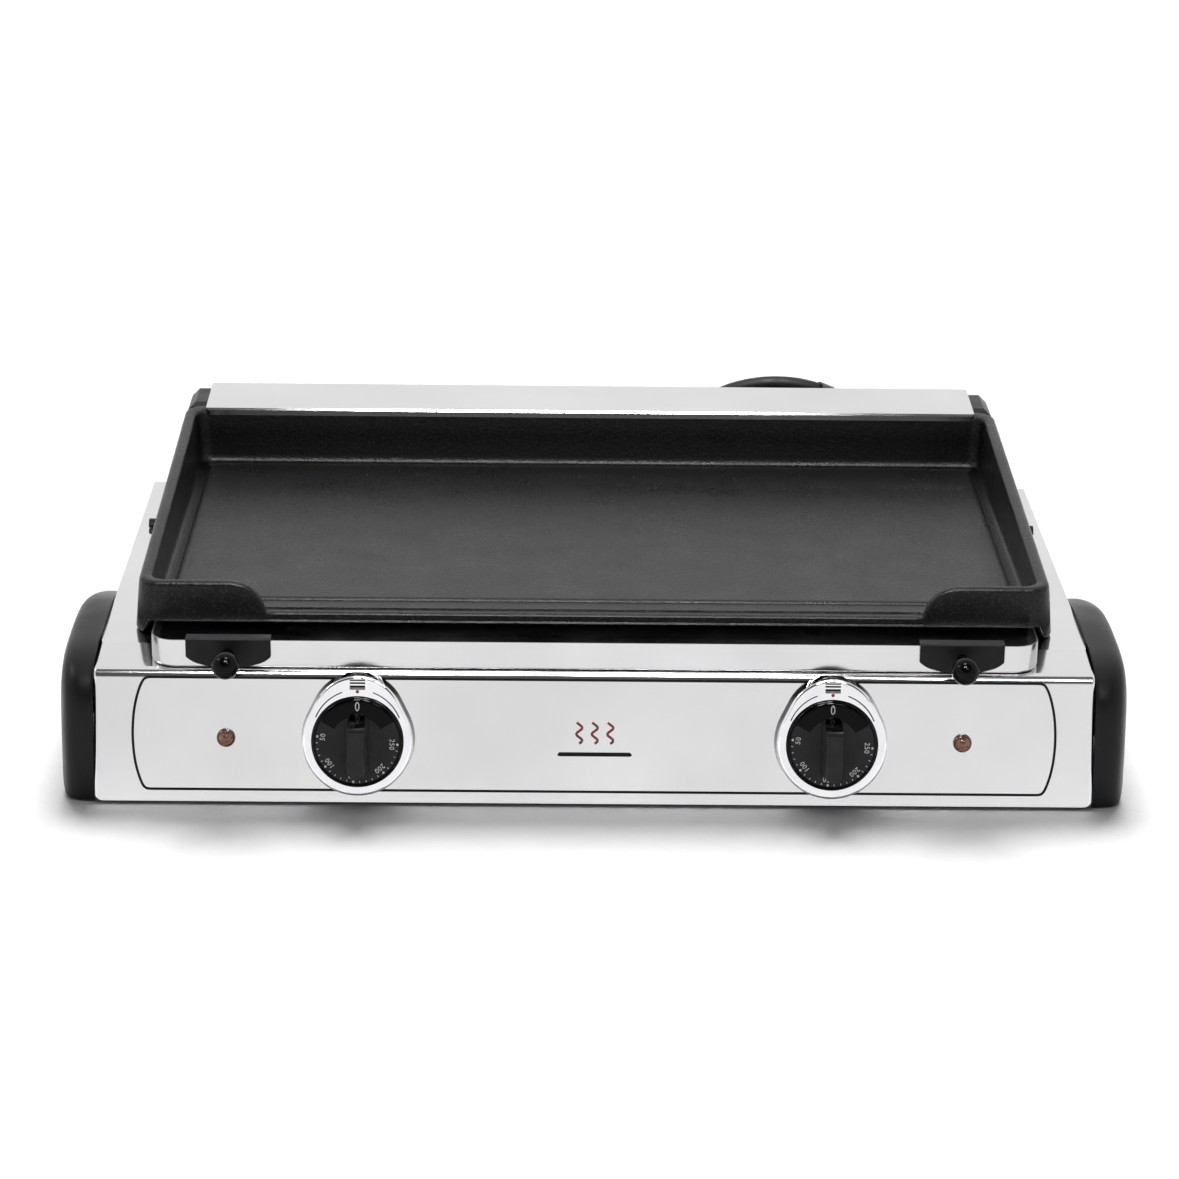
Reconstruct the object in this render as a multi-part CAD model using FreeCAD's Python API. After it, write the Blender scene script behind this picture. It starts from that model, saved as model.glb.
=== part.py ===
import FreeCAD, Part
import math
import os
from FreeCAD import Vector

# Counter-top electric griddle with two heating zones.
# X runs across the front, Y from the front panel to the back, Z up from the surface it stands on.
# Everything is modelled with Y = 0 at the front panel's bottom edge, in millimetres; save() moves
# each piece back by DEPTH_CENTRE, so that the finished part's origin is the middle of its underside.

# ---------------------------------------------------------------- driving dimensions
DEPTH_CENTRE = 192.6        # middle of the overall depth, knob tips to rear screws

CASING_HALF = 290.0         # half width of the stainless casing
SHEET = 1.2                 # casing sheet thickness
BEND_R = 6.0                # rounding of the casing's front bend
EDGE_R = 1.8                # rounding of the front panel's side edges
LIFT = 2.0                  # underside of the casing above the surface
PANEL_LEN = 77.0            # front panel, measured up its slope
PANEL_LEAN = 12.0           # degrees that the panel leans back
APRON_BACK = 50.0           # where the sloping apron meets the level deck
DECK_Z = 81.0               # top of the deck
CASING_REAR = 351.0         # back of the casing

PLATE_FRONT = 66.0          # griddle plate, outer faces
PLATE_REAR = 370.0
PLATE_HALF = 269.2          # at the rim
PLATE_DRAFT = 2.4           # how much wider each side is at its foot
RIM_FRONT_Z = 112.9         # the rim rises towards the back
RIM_REAR_Z = 128.8
RIM_WIDTH = 7.8
FIELD_Z = 95.2              # raised cooking field
FIELD_HALF = 251.5
CHANNEL_Z = 93.6            # grease channel round the field
CHANNEL_HALF = 259.7
LIP_Z = 94.4                # front lip over the drip tray
LIP_BACK = 91.0             # front edge of the cooking field
PLATE_UNDER = 86.6          # underside of the plate's floor
LIP_UNDER = 88.6            # underside of the front wall
SKIRT = 5.4                 # thickness of the skirts at their feet
SPOUT_HALF = 189.0          # half width of the low part of the front wall

SHELF_HALF = 255.25         # rear shelf
SHELF_FRONT = 356.0
SHELF_REAR = 408.0
HOUSING_HALF = 269.0        # rear housing
HOUSING_FRONT = 374.5
HOUSING_TOP = 129.0
HOUSING_CUT = 5.0           # its cut top corners

COVER_OUT = 310.4           # widest point of the plastic side covers
COVER_WALL = 2.5

TRAY_HALF = 257.5           # drip tray
TRAY_FRONT = 18.0
TRAY_REAR = 94.0
TRAY_RIM_Z = 94.8
TRAY_SHEET = 1.0
HANDLE_X = 212.0
HANDLE_HALF = 24.5
BALL_R = 8.0
BALL_Z = 87.1
BALL_Y = -2.0

KNOB_X = 137.0              # knobs and lamps, measured from the middle of the panel
KNOB_H = 37.5               # up the panel's slope
LAMP_X = 213.5
BEZEL_R = 31.7
BEZEL_TOP_R = 26.5
BEZEL_TOP = 38.1
BEZEL_DEPTH = 10.0
DIAL_R = 26.0
DIAL_FACE = 12.2
GRIP_TIP = 31.0
SHAFT_R = 3.0

ZONE_MID = 126.0            # centre of each heating zone
ELEMENT_R = 3.25
ELEMENT_Z = PLATE_UNDER - ELEMENT_R
OPENING_HALF = 250.0        # opening in the deck under the plate
OPENING_FRONT = 105.0
OPENING_REAR = 340.0

TERMINAL_X = -120.0         # terminal block inside the rear housing

CORD_R = 4.2
GLAND_X = -60.0
GLAND_Z = 30.0
REAR_FACE = 409.0           # outside of the rear panel
COIL_X = 127.0
COIL_R = 67.0               # centre line of the coil's bundle of turns
COIL_BUNDLE = 9.5
COIL_LEAN = 29.0            # degrees off the vertical, leaning on the housing
COIL_TOP_Y = 421.5          # centre of the bundle at its highest point

lean = math.radians(PANEL_LEAN)
BEND = (PANEL_LEN * math.sin(lean), LIFT + PANEL_LEN * math.cos(lean))
APRON_SLOPE = (DECK_Z - BEND[1]) / (APRON_BACK - BEND[0])
SIDES = {"left": -1, "right": 1}


# ---------------------------------------------------------------- helpers
def box(x0, x1, y0, y1, z0, z1):
    return Part.makeBox(x1 - x0, y1 - y0, z1 - z0, Vector(x0, y0, z0))


def rod(radius, start, end):
    """A round bar from one point to another."""
    a, b = Vector(*start), Vector(*end)
    return Part.makeCylinder(radius, (b - a).Length, a, b - a)


def cone(r0, r1, start, end):
    a, b = Vector(*start), Vector(*end)
    return Part.makeCone(r0, r1, (b - a).Length, a, b - a)


def prism(points, direction):
    wire = Part.makePolygon(points + points[:1])
    return Part.Face(wire).extrude(direction)


def side_prism(points, x0, x1):
    """A (y, z) outline carried across from x0 to x1."""
    return prism([Vector(x0, y, z) for y, z in points], Vector(x1 - x0, 0, 0))


def front_prism(points, y0, y1):
    """An (x, z) outline carried back from y0 to y1."""
    return prism([Vector(x, y0, z) for x, z in points], Vector(0, y1 - y0, 0))


def plan_prism(points, z0, z1):
    """An (x, y) outline carried up from z0 to z1."""
    return prism([Vector(x, y, z0) for x, y in points], Vector(0, 0, z1 - z0))


def fuse(shapes):
    shapes = list(shapes)
    return shapes[0].multiFuse(shapes[1:]).removeSplitter() if len(shapes) > 1 else shapes[0]


def group(shapes):
    """Separate solids kept in one node."""
    solids = [s for shape in shapes for s in shape.Solids]
    return Part.makeCompound(solids)


def fillet(shape, radius, chosen):
    """Rounds the edges whose middle point passes the test."""
    edges = [e for e in shape.Edges if chosen(middle(e))]
    return shape.makeFillet(radius, edges)


def middle(edge):
    return edge.valueAt((edge.FirstParameter + edge.LastParameter) / 2)


def near(a, b, gap=0.4):
    return abs(a - b) < gap


def mirror_x(shape):
    return shape.mirror(Vector(0, 0, 0), Vector(1, 0, 0))


def on_side(shape, side):
    """A piece modelled on the +X side, put on the named side."""
    return shape if SIDES[side] > 0 else mirror_x(shape)


def rounded_loop(half, y0, y1, radius, z_front, z_rear):
    """A closed loop round a rectangle with round corners, on a plane that may rise towards the back."""
    rise = (z_rear - z_front) / (y1 - y0)

    def at(x, y):
        return Vector(x, y, z_front + rise * (y - y0))

    turn = radius * (1 - math.sqrt(0.5))
    edges = []
    corners = [(half, y0, -1, 1), (half, y1, -1, -1), (-half, y1, 1, -1), (-half, y0, 1, 1)]
    for i, (x, y, sx, sy) in enumerate(corners):
        across, along = at(x + sx * radius, y), at(x, y + sy * radius)
        first, last = (across, along) if i % 2 == 0 else (along, across)
        edges.append(Part.Arc(first, at(x + sx * turn, y + sy * turn), last).toShape())
    joined = []
    for i, edge in enumerate(edges):
        following = edges[(i + 1) % len(edges)]
        joined += [edge, Part.LineSegment(edge.lastVertex().Point, following.firstVertex().Point).toShape()]
    return Part.Wire(joined)


def tapered_block(low, high):
    """A solid between two loops."""
    return Part.makeLoft([low, high], True, True)


def block(half, y0, y1, radius, z0, z1):
    """A level slab with round corners."""
    loop = rounded_loop(half, y0, y1, radius, z0, z0)
    return Part.Face(loop).extrude(Vector(0, 0, z1 - z0))


def on_panel(shape, x, height=KNOB_H):
    """Moves a piece from its own frame (x across, y up the panel, z out of it) onto the front panel."""
    placed = shape.copy()
    placed.rotate(Vector(0, 0, 0), Vector(1, 0, 0), 90 - PANEL_LEAN)
    placed.translate(Vector(x, height * math.sin(lean), LIFT + height * math.cos(lean)))
    return placed


def smooth_route(points):
    """Straight runs joined by arcs that touch them, and the arcs' radii."""
    pts = [Vector(*p) for p in points]
    edges, radii, start = [], [], pts[0]
    for before, corner, after in zip(pts, pts[1:], pts[2:]):
        run = min((corner - before).Length, (after - corner).Length)
        inward = (before - corner).normalize()
        outward = (after - corner).normalize()
        turn = math.pi - inward.getAngle(outward)
        radius = 0.45 * run / math.tan(turn / 2)
        radii.append(round(radius, 1))
        first, last = corner + inward * 0.45 * run, corner + outward * 0.45 * run
        bisector = (inward + outward).normalize()
        reach = radius / math.cos(turn / 2) - radius
        edges.append(Part.LineSegment(start, first).toShape())
        edges.append(Part.Arc(first, corner + bisector * reach, last).toShape())
        start = last
    edges.append(Part.LineSegment(start, pts[-1]).toShape())
    return Part.Wire(edges), radii


def tube(points, radius):
    """A round tube along a smooth route."""
    path, radii = smooth_route(points)
    first = path.Edges[0]
    centre, heading = first.valueAt(first.FirstParameter), first.tangentAt(first.FirstParameter)
    ring = Part.Wire(Part.makeCircle(radius, centre, heading))
    solid = path.makePipeShell([ring], True, False)
    share = solid.Volume / (math.pi * radius ** 2 * path.Length)
    print(f"tube {path.Length:.1f} mm long, volume / (section x length) {share:.4f}, radii {radii}")
    return solid


def screw(point, direction, head_r=3.6, head=2.2, shank_r=1.9, shank=8.0):
    """A pan-head screw: point is where the head meets the sheet, direction points out of the head."""
    p, d = Vector(*point), Vector(*direction).normalize()
    pan = Part.makeCylinder(head_r, head, p, d)
    body = fuse([pan, Part.makeCylinder(shank_r, shank, p - d * shank, d)])
    top = p + d * head
    body = body.makeFillet(0.9, [e for e in body.Edges if e.Curve.TypeId == "Part::GeomCircle"
                                 and near((e.Curve.Center - top).Length, 0, 0.01)])
    across = Vector(0, 0, 1) if abs(d.z) < 0.5 else Vector(1, 0, 0)
    for axis in (across, d.cross(across)):
        slot = Part.makeBox(3.6, 0.8, 1.2)
        turn = FreeCAD.Rotation(axis, d.cross(axis), d, "XYZ")
        slot.Placement = FreeCAD.Placement(p + d * (head - 1.0), turn)
        slot.translate(axis * -1.8 + d.cross(axis) * -0.4)
        body = body.cut(slot)
    return body


parts = {}


def save(name, shape):
    """Keeps a finished piece in the part's own frame."""
    moved = shape.copy()
    moved.translate(Vector(0, -DEPTH_CENTRE, 0))
    parts[name] = moved


# ---------------------------------------------------------------- casing and base
def casing_block(inset):
    """The casing's outer shape, or its inside when inset is the sheet's thickness."""
    bottom = LIFT if inset == 0 else LIFT - 5
    foot = (bottom - LIFT) * math.tan(lean)
    dy = inset / math.cos(lean)
    apron = math.atan(APRON_SLOPE)
    outline = [
        (foot + dy, bottom),
        (BEND[0] + dy - inset * math.tan(lean) * 0.9, BEND[1] - inset / math.cos(apron) + dy * APRON_SLOPE),
        (APRON_BACK, DECK_Z - inset),
        (CASING_REAR - inset, DECK_Z - inset),
        (CASING_REAR - inset, bottom),
    ]
    solid = side_prism(outline, -CASING_HALF + inset, CASING_HALF - inset)
    bend_y, bend_z = outline[1]
    solid = fillet(solid, BEND_R - inset, lambda p: near(p.y, bend_y, 0.1) and near(p.z, bend_z, 0.1))
    side = CASING_HALF - inset
    return fillet(solid, EDGE_R - inset,
                  lambda p: near(abs(p.x), side, 0.1) and p.z > bottom + 5 and p.y < APRON_BACK - 0.5)


def casing_shell():
    shell = casing_block(0).cut(casing_block(SHEET))
    shell = shell.cut(block(OPENING_HALF, OPENING_FRONT, OPENING_REAR, 12, DECK_Z - 6, DECK_Z + 6))
    # the rear wall stops above the base plate, which runs on under it, and lets the wires through
    shell = shell.cut(box(-CASING_HALF + 3, CASING_HALF - 3, CASING_REAR - 3, CASING_REAR + 3, -1, 5.6))
    shell = shell.cut(box(TERMINAL_X - 24, TERMINAL_X + 24, CASING_REAR - 3, CASING_REAR + 3, 9, 24))
    # round off the panel's bottom corners as seen from the front
    for sign in (-1, 1):
        x, r = sign * CASING_HALF, 5.0
        corner = box(min(x, x - sign * r), max(x, x - sign * r), -5, 5, LIFT - 1, LIFT + r)
        corner = corner.cut(rod(r, (x - sign * r, -6, LIFT + r), (x - sign * r, 6, LIFT + r)))
        shell = shell.cut(corner)
    holes = [on_panel(rod(5.2, (0, 0, -6), (0, 0, 4)), s * KNOB_X) for s in (-1, 1)]
    holes += [on_panel(rod(2.0, (dx, 0, -6), (dx, 0, 4)), s * KNOB_X) for s in (-1, 1) for dx in (-14, 14)]
    holes += [on_panel(rod(4.7, (0, 0, -6), (0, 0, 4)), s * LAMP_X) for s in (-1, 1)]
    return shell.cut(fuse(holes))


BASE_Z = 4.0                # underside of the base plate
BASE_T = 1.0


def base_plate():
    """Flat floor of the griddle with side flanges and cooling slots."""
    half = CASING_HALF - SHEET - 0.3
    rear_half = HOUSING_HALF - 1.4
    outline = [(half - 4, 3.0), (half, 7.0), (half, 349.4), (rear_half, 349.4), (rear_half, 407.6)]
    floor = plan_prism(outline + [(-x, y) for x, y in reversed(outline)], BASE_Z, BASE_Z + BASE_T)
    flanges = [box(min(s * half, s * (half - 1)), max(s * half, s * (half - 1)), 20, 340, BASE_Z, 20)
               for s in (-1, 1)]
    plate = fuse([floor] + flanges)
    slots = []
    for row_y in (150, 210, 270):
        for i in range(14):
            x = -195 + i * 30
            slots.append(box(x - 2.5, x + 2.5, row_y - 18, row_y + 18, 0, 10))
    return plate.cut(Part.makeCompound(slots))


FOOT_PLACES = [(sx * x, y) for x, y in ((258, 32), (240, 384)) for sx in (-1, 1)]


def rubber_feet():
    return group(cone(11.0, 12.5, (x, y, 0), (x, y, BASE_Z)).cut(rod(4.5, (x, y, -1), (x, y, 1.6)))
                 .cut(rod(2.05, (x, y, -1), (x, y, 9))) for x, y in FOOT_PLACES)


def foot_screws():
    above_ground = box(-400, 400, 0, 500, 0.2, 30)
    return group(screw((x, y, 1.6), (0, 0, -1), head=1.2, head_r=3.4, shank=9).common(above_ground)
                 for x, y in FOOT_PLACES)


# ---------------------------------------------------------------- rear housing and shelf
def housing_face(half, low, top, cut):
    """The housing seen from the front: a rectangle with cut top corners."""
    return [(-half, low), (half, low), (half, top - cut), (half - cut, top), (-half + cut, top),
            (-half, top - cut)]


def housing_block(inset):
    t = inset
    rear = REAR_FACE - 1.0
    if inset == 0:
        outline = [(CASING_REAR + 0.4, 5.2), (CASING_REAR + 0.4, 79.6), (HOUSING_FRONT, 79.6),
                   (HOUSING_FRONT, HOUSING_TOP - 3), (HOUSING_FRONT + 3, HOUSING_TOP), (rear, HOUSING_TOP),
                   (rear, 5.2)]
    else:
        outline = [(340, 0), (340, 79.6 - t), (HOUSING_FRONT + t, 79.6 - t),
                   (HOUSING_FRONT + t, HOUSING_TOP - 3.4), (HOUSING_FRONT + 3.4, HOUSING_TOP - t),
                   (rear + 5, HOUSING_TOP - t), (rear + 5, 0)]
    face = housing_face(HOUSING_HALF - t, 5.2 - t * 8, HOUSING_TOP - t, HOUSING_CUT - 0.4 * t)
    return side_prism(outline, -HOUSING_HALF, HOUSING_HALF).common(front_prism(face, 300, 450))


def rear_housing():
    return housing_block(0).cut(housing_block(1.0))


REAR_SCREWS = [(sx * x, z) for z in (14, 117) for x in (90, 250) for sx in (-1, 1)]


def rear_panel():
    """Removable rear panel with louvre slots and the hole for the cord's gland."""
    face = housing_face(HOUSING_HALF, 5.2, HOUSING_TOP, HOUSING_CUT)
    panel = front_prism(face, REAR_FACE - 1.0, REAR_FACE)
    slots = []
    for centre in (-175, 0, 175):
        for row in range(4):
            z = 62 + row * 10
            slots.append(box(centre - 38, centre + 38, REAR_FACE - 3, REAR_FACE + 3, z, z + 3.4))
    slots.append(rod(8.3, (GLAND_X, REAR_FACE - 3, GLAND_Z), (GLAND_X, REAR_FACE + 3, GLAND_Z)))
    slots += [rod(2.05, (x, REAR_FACE - 3, z), (x, REAR_FACE + 3, z)) for x, z in REAR_SCREWS]
    return panel.cut(Part.makeCompound(slots))


def rear_screws():
    return group(screw((x, REAR_FACE, z), (0, 1, 0), shank=7) for x, z in REAR_SCREWS)


SHELF_T = 1.2


def rear_shelf():
    """Folded strip over the back of the plate: a lip in front, a level top, a foot fold behind."""
    t = SHELF_T
    zf, zr = 131.0, 133.0
    foot = HOUSING_TOP + 0.1
    outline = [(SHELF_FRONT, 126.4), (SHELF_FRONT, zf - 1.2), (SHELF_FRONT + 1.2, zf), (SHELF_REAR, zr),
               (SHELF_REAR, foot), (SHELF_REAR - t, foot), (SHELF_REAR - t, zr - t),
               (SHELF_FRONT + 1.2 + t * 0.4, zf - t), (SHELF_FRONT + t, zf - 1.2 - t * 0.5),
               (SHELF_FRONT + t, 126.4)]
    shelf = side_prism(outline, -SHELF_HALF, SHELF_HALF)
    for s in (-1, 1):
        x = s * SHELF_HALF
        corner = [(x + s, 125), (x + s, 131.5), (x - s * 0.1, 131.5), (x - s * 3.0, 127.6),
                  (x - s * 3.0, 125)]
        shelf = shelf.cut(front_prism(corner, SHELF_FRONT - 1, SHELF_FRONT + t + 0.3))
    return shelf


def shelf_brackets():
    """Z-shaped feet between the shelf and the housing, each held by a rivet."""
    feet = []
    for x in (-200, 0, 200):
        sole = box(x - 12, x + 12, 382, 398, HOUSING_TOP + 0.05, HOUSING_TOP + 1.2)
        upright = box(x - 12, x + 12, 382, 383.2, HOUSING_TOP + 0.05, 130.7)
        feet.append(fuse([sole, upright]))
    return group(feet)


# ---------------------------------------------------------------- plastic side covers
COVER_LOW = 1.0
COVER_CREST = 84.5
# how far along the cover and how far up it each point of its side outline lies
COVER_CURVE = [(0, 0), (0.004, 0.30), (0.011, 0.55), (0.025, 0.77), (0.055, 0.90), (0.10, 0.965),
               (0.17, 0.992), (0.26, 1.0), (0.36, 0.98), (0.48, 0.88), (0.62, 0.68), (0.78, 0.40),
               (0.92, 0.16), (1.0, 0.03)]
# slices from the casing outwards: x, front end, drop of the crest, back end, rise of the lower edge
COVER_SLICES = [(290.3, 2.6, 0.0, 322, 0.0), (298, 3.4, 0.15, 320, 0.0), (303.5, 5.4, 0.5, 316, 0.0),
                (306.6, 8.5, 1.4, 308, 0.4), (308.9, 13.5, 3.2, 296, 3.0), (COVER_OUT, 20, 8.0, 280, 10)]


def cover_slice(x, front, crest, back, low):
    points = [Vector(x, front + u * (back - front), low + v * (crest - low)) for u, v in COVER_CURVE]
    curve = Part.BSplineCurve()
    curve.interpolate(points)
    base = Vector(x, back, low)
    return Part.Wire([curve.toShape(), Part.makeLine(points[-1], base), Part.makeLine(base, points[0])])


def cover_block(wall):
    """The +X cover's outer shape, or its inside when wall is its thickness."""
    slices = []
    for x, front, drop, back, rise in COVER_SLICES:
        inner_x = x - wall if x > 295 else x - 2 * wall
        low = COVER_LOW + rise - 2 * wall
        crest = COVER_CREST - drop - wall
        slices.append(cover_slice(inner_x, front + wall, crest, back - 2 * wall, low))
    return Part.makeLoft(slices, True, False)


def side_cover():
    return cover_block(0).cut(cover_block(COVER_WALL))


# ---------------------------------------------------------------- griddle plate
def spout_outline(half, low, high):
    """Low part of the front wall: level in the middle, rising in a rounded step at each end."""
    right = [(half, low), (half + 2.2, low + 8), (half + 4.6, low + 11.6), (half + 8.5, low + 15.2),
             (half + 13, low + 17.4), (half + 18, low + 18.5), (half + 22, low + 19.4), (half + 22, high)]
    return [(-x, z) for x, z in reversed(right)] + right


def griddle_plate():
    foot_half = PLATE_HALF + PLATE_DRAFT
    outer = tapered_block(
        rounded_loop(foot_half, PLATE_FRONT - 1, PLATE_REAR + 2, 12, DECK_Z, DECK_Z),
        rounded_loop(PLATE_HALF, PLATE_FRONT, PLATE_REAR, 12, RIM_FRONT_Z, RIM_REAR_Z))
    rim_rise = (RIM_REAR_Z - RIM_FRONT_Z) / (PLATE_REAR - PLATE_FRONT)
    top_half = PLATE_HALF - RIM_WIDTH
    y0, y1 = PLATE_FRONT + RIM_WIDTH - 0.5, PLATE_REAR - 10.2
    over = 4.0
    grow = over * (top_half - CHANNEL_HALF) / (RIM_FRONT_Z - CHANNEL_Z)
    pan = tapered_block(
        rounded_loop(CHANNEL_HALF, PLATE_FRONT + 9.5, PLATE_REAR - 11.2, 9, CHANNEL_Z, CHANNEL_Z),
        rounded_loop(top_half + grow, y0 - grow, y1 + grow, 9 + grow,
                     RIM_FRONT_Z + over + rim_rise * (y0 - PLATE_FRONT),
                     RIM_FRONT_Z + over + rim_rise * (y1 - PLATE_FRONT)))
    plate = outer.cut(pan)
    spout = front_prism(spout_outline(SPOUT_HALF, LIP_Z, RIM_FRONT_Z + 8),
                        PLATE_FRONT - 5, PLATE_FRONT + 14)
    plate = plate.cut(spout)
    field = tapered_block(
        rounded_loop(FIELD_HALF + 1.4, LIP_BACK - 1.4, PLATE_REAR - 19.6, 8, CHANNEL_Z - 1, CHANNEL_Z - 1),
        rounded_loop(FIELD_HALF, LIP_BACK, PLATE_REAR - 21, 7, FIELD_Z, FIELD_Z))
    plate = plate.fuse(field).removeSplitter()
    pocket_half = foot_half - SKIRT
    pocket = block(pocket_half, PLATE_FRONT + 30, PLATE_REAR - 8, 6, DECK_Z - 2, PLATE_UNDER)
    arch = [(pocket_half - 3, LIP_UNDER), (pocket_half, LIP_UNDER - 3), (pocket_half, DECK_Z - 2)]
    arch = [(-x, z) for x, z in reversed(arch)] + arch
    passage = front_prism(arch, PLATE_FRONT - 5, PLATE_FRONT + 31)
    return plate.cut(pocket).cut(passage)


SIDE_SCREW_Y = 238.0
SIDE_SCREW_Z = DECK_Z + 7.5


def plate_side_screws():
    """A black screw with a washer and a slotted round head in each side of the plate."""
    x, y, z = PLATE_HALF + PLATE_DRAFT - 1.0, SIDE_SCREW_Y, SIDE_SCREW_Z
    stations = [(2.6, 0, 3), (6.0, 3, 4.4), (5.0, 4.4, 10.4)]
    one = fuse([rod(r, (x + a, y, z), (x + b, y, z)) for r, a, b in stations])
    one = one.cut(box(x + 8.2, x + 11, y - 6, y + 6, z - 0.9, z + 0.9))
    return group(on_side(one, s) for s in SIDES)


TIE_PLACES = [(s * x, y) for x in (60, 190) for y in (120, 322) for s in (-1, 1)]
REFLECTOR_FLOOR = 61.0
REFLECTOR_T = 0.8


def plate_tie_studs():
    """Studs in the underside of the plate that clamp it down through the reflector's floor."""
    return group(rod(3.0, (x, y, 50), (x, y, PLATE_UNDER)) for x, y in TIE_PLACES)


def hexagon(radius, u, v):
    turns = [math.radians(60 * i) for i in range(6)]
    return [(u + radius * math.cos(t), v + radius * math.sin(t)) for t in turns]


def hex_prism(radius, centre, z0, z1):
    return plan_prism(hexagon(radius, *centre), z0, z1)


def plate_tie_nuts():
    nuts = []
    for x, y in TIE_PLACES:
        top = REFLECTOR_FLOOR - REFLECTOR_T
        washer = rod(9, (x, y, top - 1.5), (x, y, top))
        nut = washer.fuse(hex_prism(5.8, (x, y), top - 6.5, top - 1.5))
        nuts.append(nut.cut(rod(3.0, (x, y, 40), (x, y, 70))))
    return group(nuts)


# ---------------------------------------------------------------- heating
LEGS = 6
LEG_PITCH = 36.0
LEG_FRONT = 135.0
LEG_REAR = 305.0


def leg_x(i):
    return ZONE_MID + (i - (LEGS - 1) / 2) * LEG_PITCH


def heating_element():
    """One sheathed element: down at the back, six legs joined by half-turns, down at the back again."""
    r, drop, low = LEG_PITCH / 2, 10.0, 48.0
    tail = 12.0
    edges = []

    def line(a, b):
        edges.append(Part.makeLine(Vector(*a), Vector(*b)))

    def arc(a, m, b):
        edges.append(Part.Arc(Vector(*a), Vector(*m), Vector(*b)).toShape())

    x, z, k = leg_x(0), ELEMENT_Z, drop * (1 - math.sqrt(0.5))
    end = LEG_REAR + tail
    line((x, end, low), (x, end, z - drop))
    arc((x, end, z - drop), (x, end - k, z - k), (x, end - drop, z))
    line((x, end - drop, z), (x, LEG_FRONT + r, z))
    for i in range(LEGS - 1):
        a, b = leg_x(i), leg_x(i + 1)
        at_front = i % 2 == 0
        y = LEG_FRONT + r if at_front else LEG_REAR - r
        arc((a, y, z), ((a + b) / 2, y + (-r if at_front else r), z), (b, y, z))
        if i < LEGS - 2:
            line((b, y, z), (b, LEG_REAR - r if at_front else LEG_FRONT + r, z))
    x = leg_x(LEGS - 1)
    line((x, LEG_FRONT + r, z), (x, end - drop, z))
    arc((x, end - drop, z), (x, end - k, z - k), (x, end, z - drop))
    line((x, end, z - drop), (x, end, low))
    path = Part.Wire(edges)
    ring = Part.Wire(Part.makeCircle(ELEMENT_R, Vector(leg_x(0), end, low), Vector(0, 0, 1)))
    return path.makePipeShell([ring], True, False)


CLAMP_ROWS = (180.0, 262.0)


def clamp_bars():
    """Flat bars that hold both elements up against the plate."""
    half = LEG_PITCH * (LEGS - 1) / 2 + 6
    z = ELEMENT_Z - ELEMENT_R
    bars = []
    for s in (-1, 1):
        for y in CLAMP_ROWS:
            bar = box(s * ZONE_MID - half, s * ZONE_MID + half, y - 7, y + 7, z - 2.1, z - 0.05)
            bars.append(bar.cut(rod(2.6, (s * ZONE_MID, y, z - 9), (s * ZONE_MID, y, z + 1))))
    return group(bars)


def clamp_bolts():
    z = ELEMENT_Z - ELEMENT_R
    bolts = []
    for s in (-1, 1):
        for y in CLAMP_ROWS:
            x = s * ZONE_MID
            shank = rod(2.5, (x, y, z - 6), (x, y, PLATE_UNDER))
            bolts.append(fuse([shank, hex_prism(4.6, (x, y), z - 6, z - 2.1)]))
    return group(bolts)


def reflector():
    """Shallow bright tray hung in the deck's opening under the elements."""
    t = REFLECTOR_T
    half, front, rear = OPENING_HALF - 0.6, OPENING_FRONT + 0.6, OPENING_REAR - 0.6
    rim = block(OPENING_HALF + 6, OPENING_FRONT - 6, OPENING_REAR + 6, 14, DECK_Z + 0.05, DECK_Z + t)
    tray = block(half, front, rear, 11, REFLECTOR_FLOOR - t, DECK_Z + t).fuse(rim)
    tray = tray.cut(block(half - t, front + t, rear - t, 10.2, REFLECTOR_FLOOR, DECK_Z + 5))
    holes = [rod(3.2, (x, y, 50), (x, y, 70)) for x, y in TIE_PLACES]
    for s in (-1, 1):
        for x in (s * leg_x(0), s * leg_x(LEGS - 1)):
            holes.append(rod(5, (x, LEG_REAR + 12, 50), (x, LEG_REAR + 12, 70)))
        holes.append(rod(3, (s * bulb_x(), BULB_FRONT - 12, 50), (s * bulb_x(), BULB_FRONT - 12, 70)))
    return tray.cut(Part.makeCompound(holes))


BULB_FRONT = 206.0
BULB_LEN = 62.0
BULB_R = 3.0


def bulb_x():
    return leg_x(2) + LEG_PITCH / 2 - 8.0


def sensing_bulb():
    """Thermostat bulb against the plate's underside and its capillary down to the thermostat."""
    x, z = bulb_x(), PLATE_UNDER - BULB_R
    bulb = rod(BULB_R, (x, BULB_FRONT, z), (x, BULB_FRONT + BULB_LEN, z))
    route = [(x, BULB_FRONT + 2, z), (x, BULB_FRONT - 12, z), (x, BULB_FRONT - 12, z - 40),
             (x - 4, 78, 40.5), (KNOB_X + 8, 60, 38)]
    return bulb.fuse(tube(route, 1.0))


# ---------------------------------------------------------------- controls on the panel
def thermostat():
    """Thermostat body behind the panel, with its bracket, bush and terminals, in the panel's frame."""
    body = box(-19, 19, -19, 19, -36, -6)
    body = body.makeFillet(2.5, [e for e in body.Edges if near(abs(e.tangentAt(0).z), 1, 0.01)])
    bracket = box(-20, 20, -8, 8, -4.2, -2.7)
    posts = [box(sx * 12 - 2, sx * 12 + 2, -7, 7, -6.2, -4) for sx in (-1, 1)]
    tabs = [box(x - 3, x + 3, 18.8, 26, -30 + i * 9, -29.2 + i * 9) for i in range(2) for x in (-10, 10)]
    body = fuse([body, bracket] + posts + tabs)
    return body.cut(rod(SHAFT_R + 0.06, (0, 0, -20), (0, 0, 0)))


def thermostat_screw_pair():
    return [fuse([rod(3.2, (x, 0, 0), (x, 0, 1.8)), rod(1.55, (x, 0, -6), (x, 0, 0.5))]) for x in (-14, 14)]


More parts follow.
